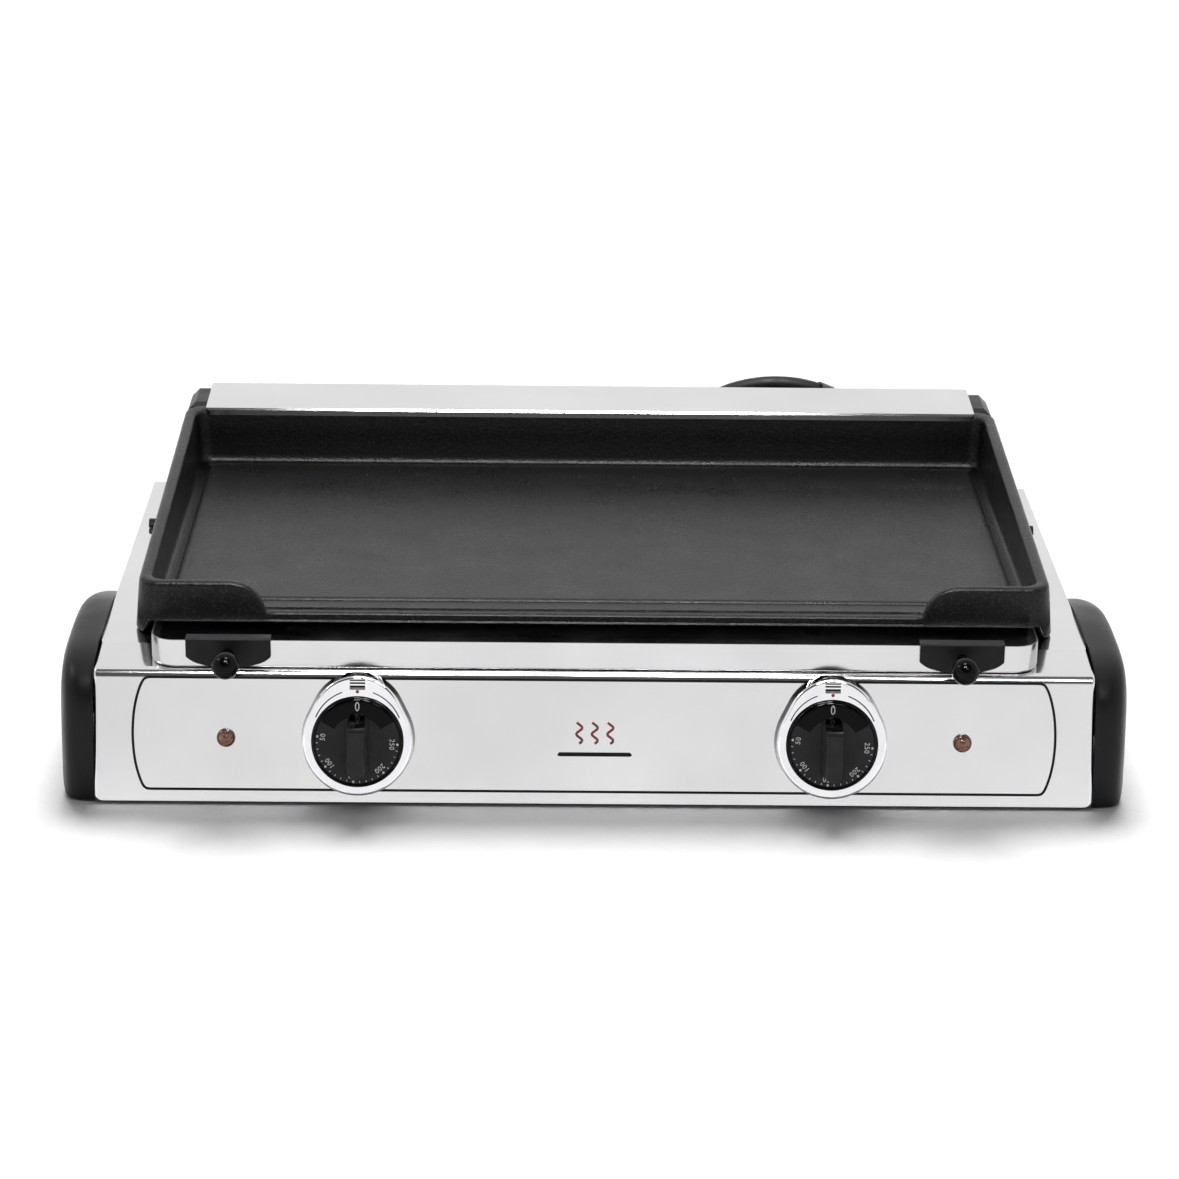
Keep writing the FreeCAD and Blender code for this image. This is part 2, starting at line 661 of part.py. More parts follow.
def thermostat_screws():
    return group(on_panel(s, side * KNOB_X) for side in SIDES.values() for s in thermostat_screw_pair())


def knob_shaft():
    """Thermostat shaft with its flat, from the thermostat into the knob."""
    shaft = rod(SHAFT_R, (0, 0, -19.5), (0, 0, 20))
    return shaft.cut(box(-5, 5, 1.6, 5, 6, 21))


def egg_outline(grow, z):
    """The bezel's outline: a ring with a smaller arch above it."""
    big, small = BEZEL_R + grow, BEZEL_TOP_R + grow
    up = BEZEL_TOP - BEZEL_TOP_R
    ny = (big - small) / up
    nx = math.sqrt(1 - ny * ny)
    p, q = Vector(big * nx, big * ny, z), Vector(small * nx, up + small * ny, z)
    p2, q2 = Vector(-p.x, p.y, z), Vector(-q.x, q.y, z)
    return Part.Wire([Part.makeLine(p, q), Part.Arc(q, Vector(0, up + small, z), q2).toShape(),
                      Part.makeLine(q2, p2), Part.Arc(p2, Vector(0, -big, z), p).toShape()])


def bezel():
    """Chrome egg-shaped bezel with a round well for the dial."""
    solid = tapered_block(egg_outline(1.2, 0), egg_outline(0, BEZEL_DEPTH))
    front = [e for e in solid.Edges if near(middle(e).z, BEZEL_DEPTH, 0.01)]
    solid = solid.makeFillet(1.6, front)
    solid = solid.cut(rod(DIAL_R + 0.7, (0, 0, 3), (0, 0, 20)))
    solid = solid.cut(rod(5.2, (0, 0, -1), (0, 0, 20)))
    crescent = rod(DIAL_R + 0.4, (0, 4.2, BEZEL_DEPTH - 0.8), (0, 4.2, BEZEL_DEPTH + 1))
    crescent = crescent.cut(box(-8.6, 8.6, 20, 40, 0, 20))
    solid = solid.cut(crescent)
    for y in (31.6, 35.0):
        solid = solid.cut(box(-4.45, 4.45, y - 1.25, y + 1.25, BEZEL_DEPTH - 1.6, BEZEL_DEPTH + 1))
    for x in (-14, 14):
        solid = solid.cut(rod(3.8, (x, 0, -1), (x, 0, 2.3)))
    return solid


def pointer_dot():
    return rod(1.0, (0, 29.2, BEZEL_DEPTH - 0.5), (0, 29.2, BEZEL_DEPTH + 0.15))


def pointer_dots():
    return group(on_panel(pointer_dot(), s * KNOB_X) for s in SIDES.values())


def dial():
    """Numbered disc with a bevelled rim."""
    outline = [(SHAFT_R + 3.2, 3.8), (DIAL_R, 3.8), (DIAL_R, DIAL_FACE - 2.0),
               (DIAL_R - 0.5, DIAL_FACE - 1.1), (DIAL_R - 2.2, DIAL_FACE - 0.1), (DIAL_R - 2.8, DIAL_FACE),
               (SHAFT_R + 3.2, DIAL_FACE)]
    wire = Part.makePolygon([Vector(r, 0, z) for r, z in outline + outline[:1]])
    return Part.Face(wire).revolve(Vector(0, 0, 0), Vector(0, 0, 1), 360)


def knob_grip():
    """Bar grip with a sloped pointer facet at its top end, and the hub that takes the shaft."""
    bar = tapered_block(rounded_loop(6.7, -19.8, 17.0, 5.6, DIAL_FACE, DIAL_FACE),
                        rounded_loop(4.5, -18.0, 14.0, 4.0, GRIP_TIP, GRIP_TIP))
    facet = side_prism([(8.6, GRIP_TIP + 2), (8.6, GRIP_TIP), (16.0, DIAL_FACE + 1.2),
                        (30, DIAL_FACE + 1.2), (30, GRIP_TIP + 2)], -20, 20)
    bar = bar.cut(facet)
    top = [e for e in bar.Edges if near(middle(e).z, GRIP_TIP, 0.01) and middle(e).y < 8]
    bar = bar.makeFillet(1.2, top)
    hub = rod(SHAFT_R + 3.0, (0, 0, 3.8), (0, 0, DIAL_FACE + 1))
    bore = rod(SHAFT_R, (0, 0, 0), (0, 0, 20)).cut(box(-5, 5, 1.6, 5, 6, 21))
    return bar.fuse(hub).removeSplitter().cut(bore)


def lamp_lens():
    """Faceted neon lens: a short collar and a dome."""
    collar = rod(5.4, (0, 0, 0.02), (0, 0, 1.6))
    dome = Part.makeSphere(6.2, Vector(0, 0, -1.6)).common(rod(4.5, (0, 0, 1.2), (0, 0, 12)))
    return fuse([collar, dome])


def lamp_body():
    stem = rod(4.4, (0, 0, -24), (0, 0, 0))
    nut = rod(7, (0, 0, -5.5), (0, 0, -2.2))
    pins = [box(x - 1.4, x + 1.4, -0.4, 0.4, -31, -23.5) for x in (-2.4, 2.4)]
    return fuse([stem, nut] + pins)


# ---------------------------------------------------------------- drip tray
TRAY_GAP = 0.6              # under the tray, and over its back edge


def drip_tray():
    """Open pressed tray: its floor follows the apron in front and runs level under the plate's lip."""
    gap, drop_y, low_top = TRAY_GAP, PLATE_FRONT - 3.5, LIP_UNDER - 1.2
    z_front = BEND[1] + (TRAY_FRONT - BEND[0]) * APRON_SLOPE + gap
    outline = [(TRAY_FRONT, z_front), (APRON_BACK + 1, DECK_Z + gap), (TRAY_REAR, DECK_Z + gap),
               (TRAY_REAR, low_top - 2.2), (PLATE_FRONT + 26, low_top - 2.2), (PLATE_FRONT + 24, low_top),
               (drop_y, low_top), (drop_y, TRAY_RIM_Z), (TRAY_FRONT, TRAY_RIM_Z)]
    outer = side_prism(outline, -TRAY_HALF, TRAY_HALF)
    plan = block(TRAY_HALF, TRAY_FRONT, TRAY_REAR + 30, 14, 60, 130)
    outer = outer.common(plan)
    foot = [e for e in outer.Edges if middle(e).z < 80.2 and middle(e).y < TRAY_FRONT + 12]
    outer = outer.makeFillet(1.6, foot)
    t = TRAY_SHEET
    floor = DECK_Z + gap + t
    inner = side_prism([(TRAY_FRONT + t, z_front + t), (APRON_BACK + 1, floor), (TRAY_REAR - t, floor),
                        (TRAY_REAR - t, 140), (TRAY_FRONT + t, 140)], -TRAY_HALF + t, TRAY_HALF - t)
    inner = inner.common(block(TRAY_HALF - t, TRAY_FRONT + t, TRAY_REAR + 30, 13, 60, 150))
    return outer.cut(inner)


TAB_T = 1.5
TAB_FRONT = TRAY_FRONT - 0.05 - TAB_T


def tray_handle():
    """Bent black tab: a flange over the tray's rim and a front leaf with a curved lower edge."""
    x0, x1 = HANDLE_X - HANDLE_HALF, HANDLE_X + HANDLE_HALF
    top, knee, low = TRAY_RIM_Z + 1.6, 85.5, 78.3
    leaf = Part.Wire([
        Part.makeLine(Vector(x0, 0, top), Vector(x1, 0, top)),
        Part.makeLine(Vector(x1, 0, top), Vector(x1, 0, knee)),
        Part.Arc(Vector(x1, 0, knee), Vector(x1 - 3.5, 0, 82.7), Vector(x1 - 8, 0, 80.9)).toShape(),
        Part.Arc(Vector(x1 - 8, 0, 80.9), Vector(HANDLE_X, 0, low), Vector(x0 + 8, 0, 80.9)).toShape(),
        Part.Arc(Vector(x0 + 8, 0, 80.9), Vector(x0 + 3.5, 0, 82.7), Vector(x0, 0, knee)).toShape(),
        Part.makeLine(Vector(x0, 0, knee), Vector(x0, 0, top)),
    ])
    leaf = Part.Face(leaf).extrude(Vector(0, TAB_T, 0))
    leaf.translate(Vector(0, TAB_FRONT, 0))
    flange = box(x0, x1, TAB_FRONT, TRAY_FRONT + 6.5, TRAY_RIM_Z + 0.1, top)
    tab = fuse([leaf, flange])
    bend = [e for e in tab.Edges if near(middle(e).z, top, 0.05) and near(middle(e).y, TAB_FRONT, 0.05)]
    tab = tab.makeFillet(1.2, bend)
    return tab.cut(rod(2.1, (HANDLE_X, TAB_FRONT - 2, BALL_Z), (HANDLE_X, TAB_FRONT + 6, BALL_Z)))


def ball_knob():
    ball = Part.makeSphere(BALL_R, Vector(HANDLE_X, BALL_Y, BALL_Z))
    neck = rod(3.4, (HANDLE_X, BALL_Y + 5, BALL_Z), (HANDLE_X, TAB_FRONT - 0.02, BALL_Z))
    knob = fuse([ball, neck])
    return knob.cut(rod(2.0, (HANDLE_X, BALL_Y, BALL_Z), (HANDLE_X, TAB_FRONT + 1, BALL_Z)))


def handle_screws():
    """Screw from inside the tray through tab and ball, one each side."""
    y = TRAY_FRONT + TRAY_SHEET
    one = fuse([rod(1.95, (HANDLE_X, BALL_Y + 0.5, BALL_Z), (HANDLE_X, y + 0.5, BALL_Z)),
                rod(3.6, (HANDLE_X, y + 0.02, BALL_Z), (HANDLE_X, y + 2.0, BALL_Z))])
    return group(on_side(one, s) for s in SIDES)


# ---------------------------------------------------------------- wiring and cord
def terminal_block():
    x, y, z = TERMINAL_X, 384, BASE_Z + BASE_T
    body = box(x - 26, x + 26, y - 9, y + 9, z, z + 8)
    ridge = box(x - 26, x + 26, y - 4.5, y + 4.5, z + 7, z + 15)
    block_ = fuse([body, ridge])
    return block_.cut(fuse([rod(2.0, (x + dx, y, z + 9), (x + dx, y, z + 17)) for dx in (-18, -6, 6, 18)]))


def earth_stud():
    x, y, z = GLAND_X + 40, 386, BASE_Z + BASE_T
    return fuse([rod(2.5, (x, y, z), (x, y, z + 16)), hex_prism(4.6, (x, y), z, z + 4)])


def wiring():
    """Insulated wires from the terminal block forward to the two thermostats."""
    wires = []
    for i, target in enumerate((-KNOB_X - 30, -KNOB_X + 26, KNOB_X - 30, KNOB_X + 30)):
        x = TERMINAL_X - 18 + 12 * i
        way = target - x
        route = [(x, 374.4, 11), (x, 356, 14), (x + 0.02 * way, 330, 20), (x + 0.12 * way, 300, 24 + 4 * i),
                 (x + 0.45 * way, 250, 26 + 5 * i), (x + 0.85 * way, 200, 27 + 4 * i), (target, 155, 28),
                 (target + 0.5, 110, 26), (target, 62, 29)]
        wires.append(tube(route, 1.3))
    return group(wires)


RELIEF_END = REAR_FACE + 34.0


def cord_gland():
    """Screwed gland with a tapered rubber-like strain relief."""
    x, z = GLAND_X, GLAND_Z
    rear, inside = REAR_FACE, REAR_FACE - 1.0
    pieces = [rod(8.0, (x, inside - 10, z), (x, rear + 1, z)),
              rod(11.5, (x, rear + 0.05, z), (x, rear + 4, z)),
              cone(9.0, 5.6, (x, rear + 4, z), (x, RELIEF_END, z))]
    gland = fuse(pieces)
    return gland.cut(rod(CORD_R, (x, inside - 20, z), (x, RELIEF_END + 5, z)))


def gland_nut():
    x, z, inside = GLAND_X, GLAND_Z, REAR_FACE - 1.0
    nut = front_prism(hexagon(13, x, z), inside - 5, inside - 0.1)
    return nut.cut(rod(8.02, (x, inside - 8, z), (x, inside + 2, z)))


coil_lean = math.radians(COIL_LEAN)
COIL_MID = Vector(COIL_X, COIL_TOP_Y + COIL_R * math.sin(coil_lean),
                  COIL_R * math.cos(coil_lean) + COIL_BUNDLE)
COIL_BACK_Y = COIL_MID.y + COIL_R * math.sin(coil_lean)

# the cord's route by hand: out of the gland, down to the surface, along it to the foot of the coil
CORD_ROUTE = [(-60, 443, 30), (-60, 457, 28.6), (-54.5, 470, 24), (-43, 480, 17.5), (-27, 485.5, 11.5),
              (-8, 487.5, 7.4), (14, 487, 5.2), (38, 486, 4.6), (64, 486.5, 4.5), (90, 487.5, 4.9),
              (113, 488, 6.6)]
# from the coil's foot to the plug
TAIL_ROUTE = [(141, 484, 5.4), (160, 484.5, 4.8), (178, 485, 6.4), (196, 485, 10.6), (215, 485, 14.6)]


def power_cord():
    """The cord's two straight-laid stretches, either side of the coil."""
    inner = [(GLAND_X, REAR_FACE - 22, GLAND_Z), (GLAND_X, RELIEF_END - 0.02, GLAND_Z)]
    held = rod(CORD_R - 0.02, inner[0], inner[1])
    return group([held, tube(CORD_ROUTE, CORD_R), tube(TAIL_ROUTE, CORD_R)])


def cord_coil():
    """Outer shape of the cord's tied coil, standing on its edge against the rear housing."""
    ring = Part.makeTorus(COIL_R, COIL_BUNDLE, Vector(0, 0, 0), Vector(0, 0, 1))
    ring.rotate(Vector(0, 0, 0), Vector(1, 0, 0), 90 + COIL_LEAN)
    ring.translate(COIL_MID)
    return ring


def cord_tie():
    """Band round the coil's bundle, at its inner side above the floor."""
    angle = math.radians(62)
    u, v = Vector(1, 0, 0), Vector(0, -math.sin(coil_lean), math.cos(coil_lean))
    centre = COIL_MID + (u * math.cos(angle) + v * math.sin(angle)) * COIL_R
    along = v * math.cos(angle) - u * math.sin(angle)
    outer = Part.makeCylinder(COIL_BUNDLE + 1.5, 10, centre - along * 5, along)
    hole = Part.makeCylinder(COIL_BUNDLE + 0.3, 20, centre - along * 10, along)
    return outer.cut(hole)


PLUG_X = 215.0
PLUG_Y = 485.0
PLUG_Z = 15.2
PLUG_TILT = 3.0


def plug_frame(shape):
    """Moves a piece from the plug's own frame (along +X from the cord's end) to where the plug lies."""
    placed = shape.copy()
    placed.rotate(Vector(0, 0, 0), Vector(0, 1, 0), -PLUG_TILT)
    placed.translate(Vector(PLUG_X, PLUG_Y, PLUG_Z))
    return placed


def plug_body():
    neck = cone(5.6, 8.5, (-2, 0, 0), (18, 0, 0))
    grip = cone(10.5, 15.5, (16, 0, 0), (30, 0, 0))
    head = rod(16.0, (28, 0, 0), (44, 0, 0))
    body = fuse([neck, grip, head])
    flats = [box(20, 60, s * 15.0 if s > 0 else -25, 25 if s > 0 else -15.0, -20, 20) for s in (-1, 1)]
    return plug_frame(body.cut(fuse(flats)).cut(rod(CORD_R, (-10, 0, 0), (6, 0, 0))))


def plug_pins():
    pins = [fuse([rod(2.4, (44.02, 0, z), (61, 0, z)), cone(2.4, 1.4, (61, 0, z), (63, 0, z))])
            for z in (-9.5, 9.5)]
    return group(plug_frame(p) for p in pins)


# ---------------------------------------------------------------- fasteners of the covers and base
def cover_screws():
    """Screws that hold the side covers, driven outwards from inside the casing."""
    places = [(60, 40), (150, 40), (215, 28)]
    one = [screw((CASING_HALF - SHEET - 0.05, y, z), (-1, 0, 0), shank=12) for y, z in places]
    return group(on_side(s, side) for side in SIDES for s in one)


def base_screws():
    """Screws through the casing's sides into the base plate's flanges."""
    one = [screw((CASING_HALF + 0.05, y, 13), (1, 0, 0), head=1.6, shank=6) for y in (95, 245)]
    return group(on_side(s, side) for side in SIDES for s in one)


def drilled(shape, *fasteners):
    """A piece with the holes that its fasteners need."""
    for fastener in fasteners:
        shape = shape.cut(fastener)
    return shape


def build():
    save("casing_shell", drilled(casing_shell(), cover_screws(), base_screws()))
    save("base_plate", drilled(base_plate(), base_screws(), foot_screws()))
    save("rubber_feet", rubber_feet())
    save("foot_screws", foot_screws())
    save("rear_housing", rear_housing())
    save("rear_panel", rear_panel())
    save("rear_screws", rear_screws())
    save("rear_shelf", rear_shelf())
    save("shelf_brackets", shelf_brackets())
    save("griddle_plate", drilled(griddle_plate(), plate_side_screws()))
    save("plate_side_screws", plate_side_screws())
    save("plate_tie_studs", plate_tie_studs())
    save("plate_tie_nuts", plate_tie_nuts())
    save("reflector", reflector())
    save("clamp_bars", clamp_bars())
    save("clamp_bolts", clamp_bolts())
    save("drip_tray", drilled(drip_tray(), handle_screws()))
    save("handle_screws", handle_screws())
    save("thermostat_screws", thermostat_screws())
    save("pointer_dots", pointer_dots())
    save("terminal_block", terminal_block())
    save("earth_stud", earth_stud())
    save("wiring", wiring())
    save("cover_screws", cover_screws())
    save("base_screws", base_screws())
    save("cord_gland", cord_gland())
    save("gland_nut", gland_nut())
    save("power_cord", power_cord())
    save("cord_coil", cord_coil())
    save("cord_tie", cord_tie())
    save("plug_body", plug_body())
    save("plug_pins", plug_pins())
    mirrored = {"side_cover": side_cover(), "heating_element": heating_element(),
                "sensing_bulb": sensing_bulb(), "tray_handle": tray_handle(), "ball_knob": ball_knob()}
    panel = {"thermostat": drilled(thermostat(), *thermostat_screw_pair()), "knob_shaft": knob_shaft(),
             "bezel": drilled(bezel(), pointer_dot()), "dial": dial(), "knob_grip": knob_grip()}
    lamp = {"lamp_lens": lamp_lens(), "lamp_body": lamp_body()}
    for side, sign in SIDES.items():
        for name, shape in mirrored.items():
            save(f"{name}_{side}", on_side(shape, side))
        for name, shape in panel.items():
            save(f"{name}_{side}", on_panel(shape, sign * KNOB_X))
        for name, shape in lamp.items():
            save(f"{name}_{side}", on_panel(shape, sign * LAMP_X))


build()
os.makedirs("parts", exist_ok=True)
for name, shape in parts.items():
    if not shape.isValid() or not shape.Solids:
        print("NOT VALID", name, len(shape.Solids))
    shape.exportStep(f"parts/{name}.step")
print(len(parts), "nodes")
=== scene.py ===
import math

import bmesh
import bpy
from mathutils import Matrix, Vector


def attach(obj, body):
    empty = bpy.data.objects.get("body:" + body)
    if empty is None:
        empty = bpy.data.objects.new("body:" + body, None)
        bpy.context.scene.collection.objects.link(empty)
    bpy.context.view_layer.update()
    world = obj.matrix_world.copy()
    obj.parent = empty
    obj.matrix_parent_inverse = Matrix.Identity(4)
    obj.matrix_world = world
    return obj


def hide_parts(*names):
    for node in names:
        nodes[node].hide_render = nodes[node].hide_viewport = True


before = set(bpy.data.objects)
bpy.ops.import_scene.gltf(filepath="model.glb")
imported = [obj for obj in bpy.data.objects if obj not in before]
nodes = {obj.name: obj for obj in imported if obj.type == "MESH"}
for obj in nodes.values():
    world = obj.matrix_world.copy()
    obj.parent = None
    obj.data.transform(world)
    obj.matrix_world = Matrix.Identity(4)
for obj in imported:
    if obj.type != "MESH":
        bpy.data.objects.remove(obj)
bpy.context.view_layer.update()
MM = 0.001
DEPTH_CENTRE = 192.6        # the part's Y origin, behind the front panel's bottom edge
PANEL_FOOT_Z = 2.0          # the front panel's bottom edge above the table
PANEL_LEAN = math.radians(12)
PANEL_UP = Vector((0, math.sin(PANEL_LEAN), math.cos(PANEL_LEAN)))
PANEL_OUT = Vector((0, -math.cos(PANEL_LEAN), math.sin(PANEL_LEAN)))

# ---------------------------------------------------------------- camera
SENSOR, LENS = 36.0, 107.39
CAMERA_AT = Vector((-0.0305, -2.0715, 0.8174))
CAMERA_YAW, CAMERA_PITCH, CAMERA_ROLL = -0.8, 19.97, 0.74

camera_data = bpy.data.cameras.new("camera")
camera_data.sensor_width = SENSOR
camera_data.lens = LENS
camera = bpy.data.objects.new("camera", camera_data)
camera.matrix_world = (Matrix.Translation(CAMERA_AT) @ Matrix.Rotation(math.radians(CAMERA_YAW), 4, "Z")
                       @ Matrix.Rotation(math.radians(90 - CAMERA_PITCH), 4, "X")
                       @ Matrix.Rotation(math.radians(CAMERA_ROLL), 4, "Z"))
bpy.context.scene.collection.objects.link(camera)
bpy.context.scene.camera = camera
bpy.context.scene.view_settings.view_transform = "Standard"


# ---------------------------------------------------------------- mesh helpers
def model(x, y, z):
    """A point of the model, in millimetres from the panel's bottom edge, in the row's frame."""
    return Vector((x, y - DEPTH_CENTRE, z)) * MM


def add_object(name, mesh, body="chassis", replaces=(), materials=()):
    obj = bpy.data.objects.new(name, mesh)
    bpy.context.scene.collection.objects.link(obj)
    for finish in materials:
        mesh.materials.append(finish)
    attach(obj, body)
    if replaces:
        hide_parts(*replaces)
    return obj


def mesh_from(bm, name, smooth_angle=35.0):
    bmesh.ops.recalc_face_normals(bm, faces=bm.faces)
    mesh = bpy.data.meshes.new(name)
    bm.to_mesh(mesh)
    bm.free()
    if smooth_angle:
        mesh.shade_smooth()
        mesh.set_sharp_from_angle(angle=math.radians(smooth_angle))
    return mesh


def add_rings(bm, rings, caps=(True, True)):
    """Faces between closed loops that have the same number of points, with both ends closed."""
    loops = [[bm.verts.new(p) for p in ring] for ring in rings]
    count = len(loops[0])
    for a, b in zip(loops, loops[1:]):
        for i in range(count):
            j = (i + 1) % count
            bm.faces.new((a[i], a[j], b[j], b[i]))
    if caps[0]:
        bm.faces.new(list(reversed(loops[0])))
    if caps[1]:
        bm.faces.new(loops[-1])
    return loops


def apply_modifiers(obj):
    """Bakes an object's modifiers into its mesh."""
    graph = bpy.context.evaluated_depsgraph_get()
    graph.update()
    mesh = bpy.data.meshes.new_from_object(obj.evaluated_get(graph))
    obj.modifiers.clear()
    obj.data = mesh
    return obj


# ---------------------------------------------------------------- material helpers
def node(tree, kind, inputs=None, **settings):
    made = tree.nodes.new(kind)
    for key, value in settings.items():
        setattr(made, key, value)
    for key, value in (inputs or {}).items():
        if isinstance(value, bpy.types.NodeSocket):
            tree.links.new(value, made.inputs[key])
        else:
            made.inputs[key].default_value = value
    return made


def place(tree, stretch=(1, 1, 1)):
    """Object coordinates, stretched."""
    where = node(tree, "ShaderNodeTexCoord").outputs["Object"]
    return node(tree, "ShaderNodeMapping", {"Vector": where, "Scale": stretch}).outputs[0]


def noise(tree, scale, stretch=(1, 1, 1), detail=3.0, rough=0.5):
    inputs = {"Vector": place(tree, stretch), "Scale": scale, "Detail": detail, "Roughness": rough}
    return node(tree, "ShaderNodeTexNoise", inputs).outputs["Fac"]


def cells(tree, scale, stretch=(1, 1, 1)):
    inputs = {"Vector": place(tree, stretch), "Scale": scale}
    return node(tree, "ShaderNodeTexVoronoi", inputs, feature="SMOOTH_F1").outputs["Distance"]


def remap(tree, value, low, high, to_low, to_high):
    inputs = {"Value": value, "From Min": low, "From Max": high, "To Min": to_low, "To Max": to_high}
    return node(tree, "ShaderNodeMapRange", inputs).outputs[0]


def blend_colour(tree, factor, first, second):
    """A colour between two others."""
    made = node(tree, "ShaderNodeMix", data_type="RGBA")
    for key, kind, value in (("Factor", "VALUE", factor), ("A", "RGBA", first), ("B", "RGBA", second)):
        socket = next(s for s in made.inputs if s.name == key and s.type == kind)
        if isinstance(value, bpy.types.NodeSocket):
            tree.links.new(value, socket)
        else:
            socket.default_value = value
    return next(s for s in made.outputs if s.type == "RGBA")


def srgb(code, alpha=1.0):
    """A colour from its hex code."""
    def linear(c):
        return c / 12.92 if c <= 0.04045 else ((c + 0.055) / 1.055) ** 2.4
    return tuple(linear(int(code[i:i + 2], 16) / 255) for i in (0, 2, 4)) + (alpha,)


def bump(tree, height, depth, below=None):
    """A bump of that depth in metres; below is another bump's normal."""
    inputs = {"Height": height, "Distance": depth, "Strength": 1.0}
    if below:
        inputs["Normal"] = below
    return node(tree, "ShaderNodeBump", inputs).outputs[0]


def material(name, dark, light, roughness, patch=30.0, metallic=0.0, bumps=(), **sockets):
    """A finish whose colour and roughness drift over the surface, with one or more grains of bump.
    roughness is (low, high); each bump is (scale, depth, stretch, kind)."""
    made = bpy.data.materials.new(name)
    made.use_nodes = True
    tree = made.node_tree
    shader = tree.nodes["Principled BSDF"]
    drift = remap(tree, noise(tree, patch), 0.3, 0.7, 0, 1)
    tree.links.new(blend_colour(tree, drift, dark, light), shader.inputs["Base Color"])
    smear = noise(tree, patch * 2.3, detail=5)
    tree.links.new(remap(tree, smear, 0.3, 0.7, *roughness), shader.inputs["Roughness"])
    shader.inputs["Metallic"].default_value = metallic
    below = None
    for scale, depth, spread, kind in bumps:
        height = cells(tree, scale, spread) if kind == "cells" else noise(tree, scale, spread, detail=4)
        below = bump(tree, height, depth, below)
    if below:
        tree.links.new(below, shader.inputs["Normal"])
    for key, value in sockets.items():
        shader.inputs[key.replace("_", " ")].default_value = value
    return made


def grain_and_painted_glints(made, scale, colour):
    """Adds small pale grains of that colour to a finish: partly its own grain, partly painted glints that
    stand in for tiny sparkle highlights.
    """
    tree = made.node_tree
    base = tree.nodes["Principled BSDF"].inputs["Base Color"]
    grains = remap(tree, noise(tree, scale, detail=2), 0.50, 0.72, 0, 1)
    tree.links.new(blend_colour(tree, grains, base.links[0].from_socket, colour), base)


EVEN = (1, 1, 1)
ALONG_X = (0.03, 1, 1)

steel = material("steel", srgb("DADADB"), srgb("E4E4E5"), (0.07, 0.14), patch=9, metallic=1.0,
                 bumps=[(900, 0.0000012, ALONG_X, "noise"), (14, 0.00004, EVEN, "noise")])
tray_steel = material("tray_steel", srgb("C6C6C6"), srgb("D2D2D2"), (0.12, 0.22), patch=12, metallic=1.0,
                      bumps=[(900, 0.000002, ALONG_X, "noise"), (20, 0.00006, EVEN, "noise")])
galvanised = material("galvanised", srgb("A9ADB0"), srgb("C6C9CB"), (0.28, 0.45), patch=60, metallic=1.0,
                      bumps=[(160, 0.00001, EVEN, "cells")])
screw_metal = material("screw_metal", srgb("B4B4B2"), srgb("D2D2D0"), (0.18, 0.32), patch=200, metallic=1.0,
                       bumps=[(2500, 0.000004, EVEN, "noise")])
chrome = material("chrome", srgb("EFEFF2"), srgb("F7F7F9"), (0.03, 0.08), patch=60, metallic=1.0,
                  bumps=[(60, 0.00001, EVEN, "noise")])
enamel = material("enamel", srgb("0B0B0C"), srgb("101011"), (0.26, 0.35), patch=14,
                  bumps=[(900, 0.00022, EVEN, "noise"), (480, 0.00012, EVEN, "cells")], IOR=1.33)
# pale grains over the enamel: partly its grain, partly painted glints standing in for its sparkle
# highlights
grain_and_painted_glints(enamel, 800, srgb("363639"))
# painted reflection: the rear housing's black finish stands in for the dark reflection on its left end; the
# housing itself is bright steel, as its right end shows
housing_black = material("housing_black", srgb("0D0D0E"), srgb("131314"), (0.32, 0.42), patch=30,
                         bumps=[(1500, 0.00003, EVEN, "noise")], IOR=1.3)
rubber = material("rubber", srgb("17171A"), srgb("232326"), (0.42, 0.6), patch=80,
                  bumps=[(1600, 0.00002, EVEN, "noise")])
cover_plastic = material("cover_plastic", srgb("141415"), srgb("1B1B1D"), (0.3, 0.4), patch=20,
                         bumps=[(2200, 0.00002, EVEN, "noise")], IOR=1.26)
tab_black = material("tab_black", srgb("151517"), srgb("202023"), (0.35, 0.48), patch=60,
                     bumps=[(1800, 0.000015, EVEN, "noise")], IOR=1.25)
ball_black = material("ball_black", srgb("060607"), srgb("0C0C0E"), (0.03, 0.09), patch=120,
                      bumps=[(300, 0.000004, EVEN, "noise")], IOR=1.2)
dial_matte = material("dial_matte", srgb("242425"), srgb("2C2C2E"), (0.42, 0.55), patch=150,
                      bumps=[(3200, 0.000016, EVEN, "noise")], IOR=1.3)
dial_gloss = material("dial_gloss", srgb("040404"), srgb("070707"), (0.04, 0.1), patch=150,
                      bumps=[(400, 0.000006, EVEN, "noise")], IOR=1.2)
inlay_dark = material("inlay_dark", srgb("0D0D0E"), srgb("161617"), (0.3, 0.4), patch=400,
                      bumps=[(3000, 0.000006, EVEN, "noise")], IOR=1.2)
inlay_grey = material("inlay_grey", srgb("77787B"), srgb("8A8B8E"), (0.25, 0.35), patch=400, metallic=0.6,
                      bumps=[(3000, 0.000006, EVEN, "noise")])
print_white = material("print_white", srgb("E4E6EA"), srgb("F4F5F8"), (0.4, 0.55), patch=600,
                       bumps=[(4000, 0.000004, EVEN, "noise")])
print_black = material("print_black", srgb("0C0C0D"), srgb("161617"), (0.35, 0.5), patch=200,
                       bumps=[(3000, 0.000003, EVEN, "noise")], IOR=1.25)
print_red = material("print_red", srgb("8A2A33"), srgb("9E3A42"), (0.35, 0.5), patch=200,
                     bumps=[(3000, 0.000003, EVEN, "noise")])
red_dot = material("red_dot", srgb("8E3A3C"), srgb("A34A4A"), (0.3, 0.4), patch=800,
                   bumps=[(3000, 0.000004, EVEN, "noise")])
amber_rim = material("amber_rim", srgb("5E3626"), srgb("744433"), (0.1, 0.2), patch=700,
                     bumps=[(500, 0.00002, EVEN, "cells")], Coat_Weight=0.5, Coat_Roughness=0.06)
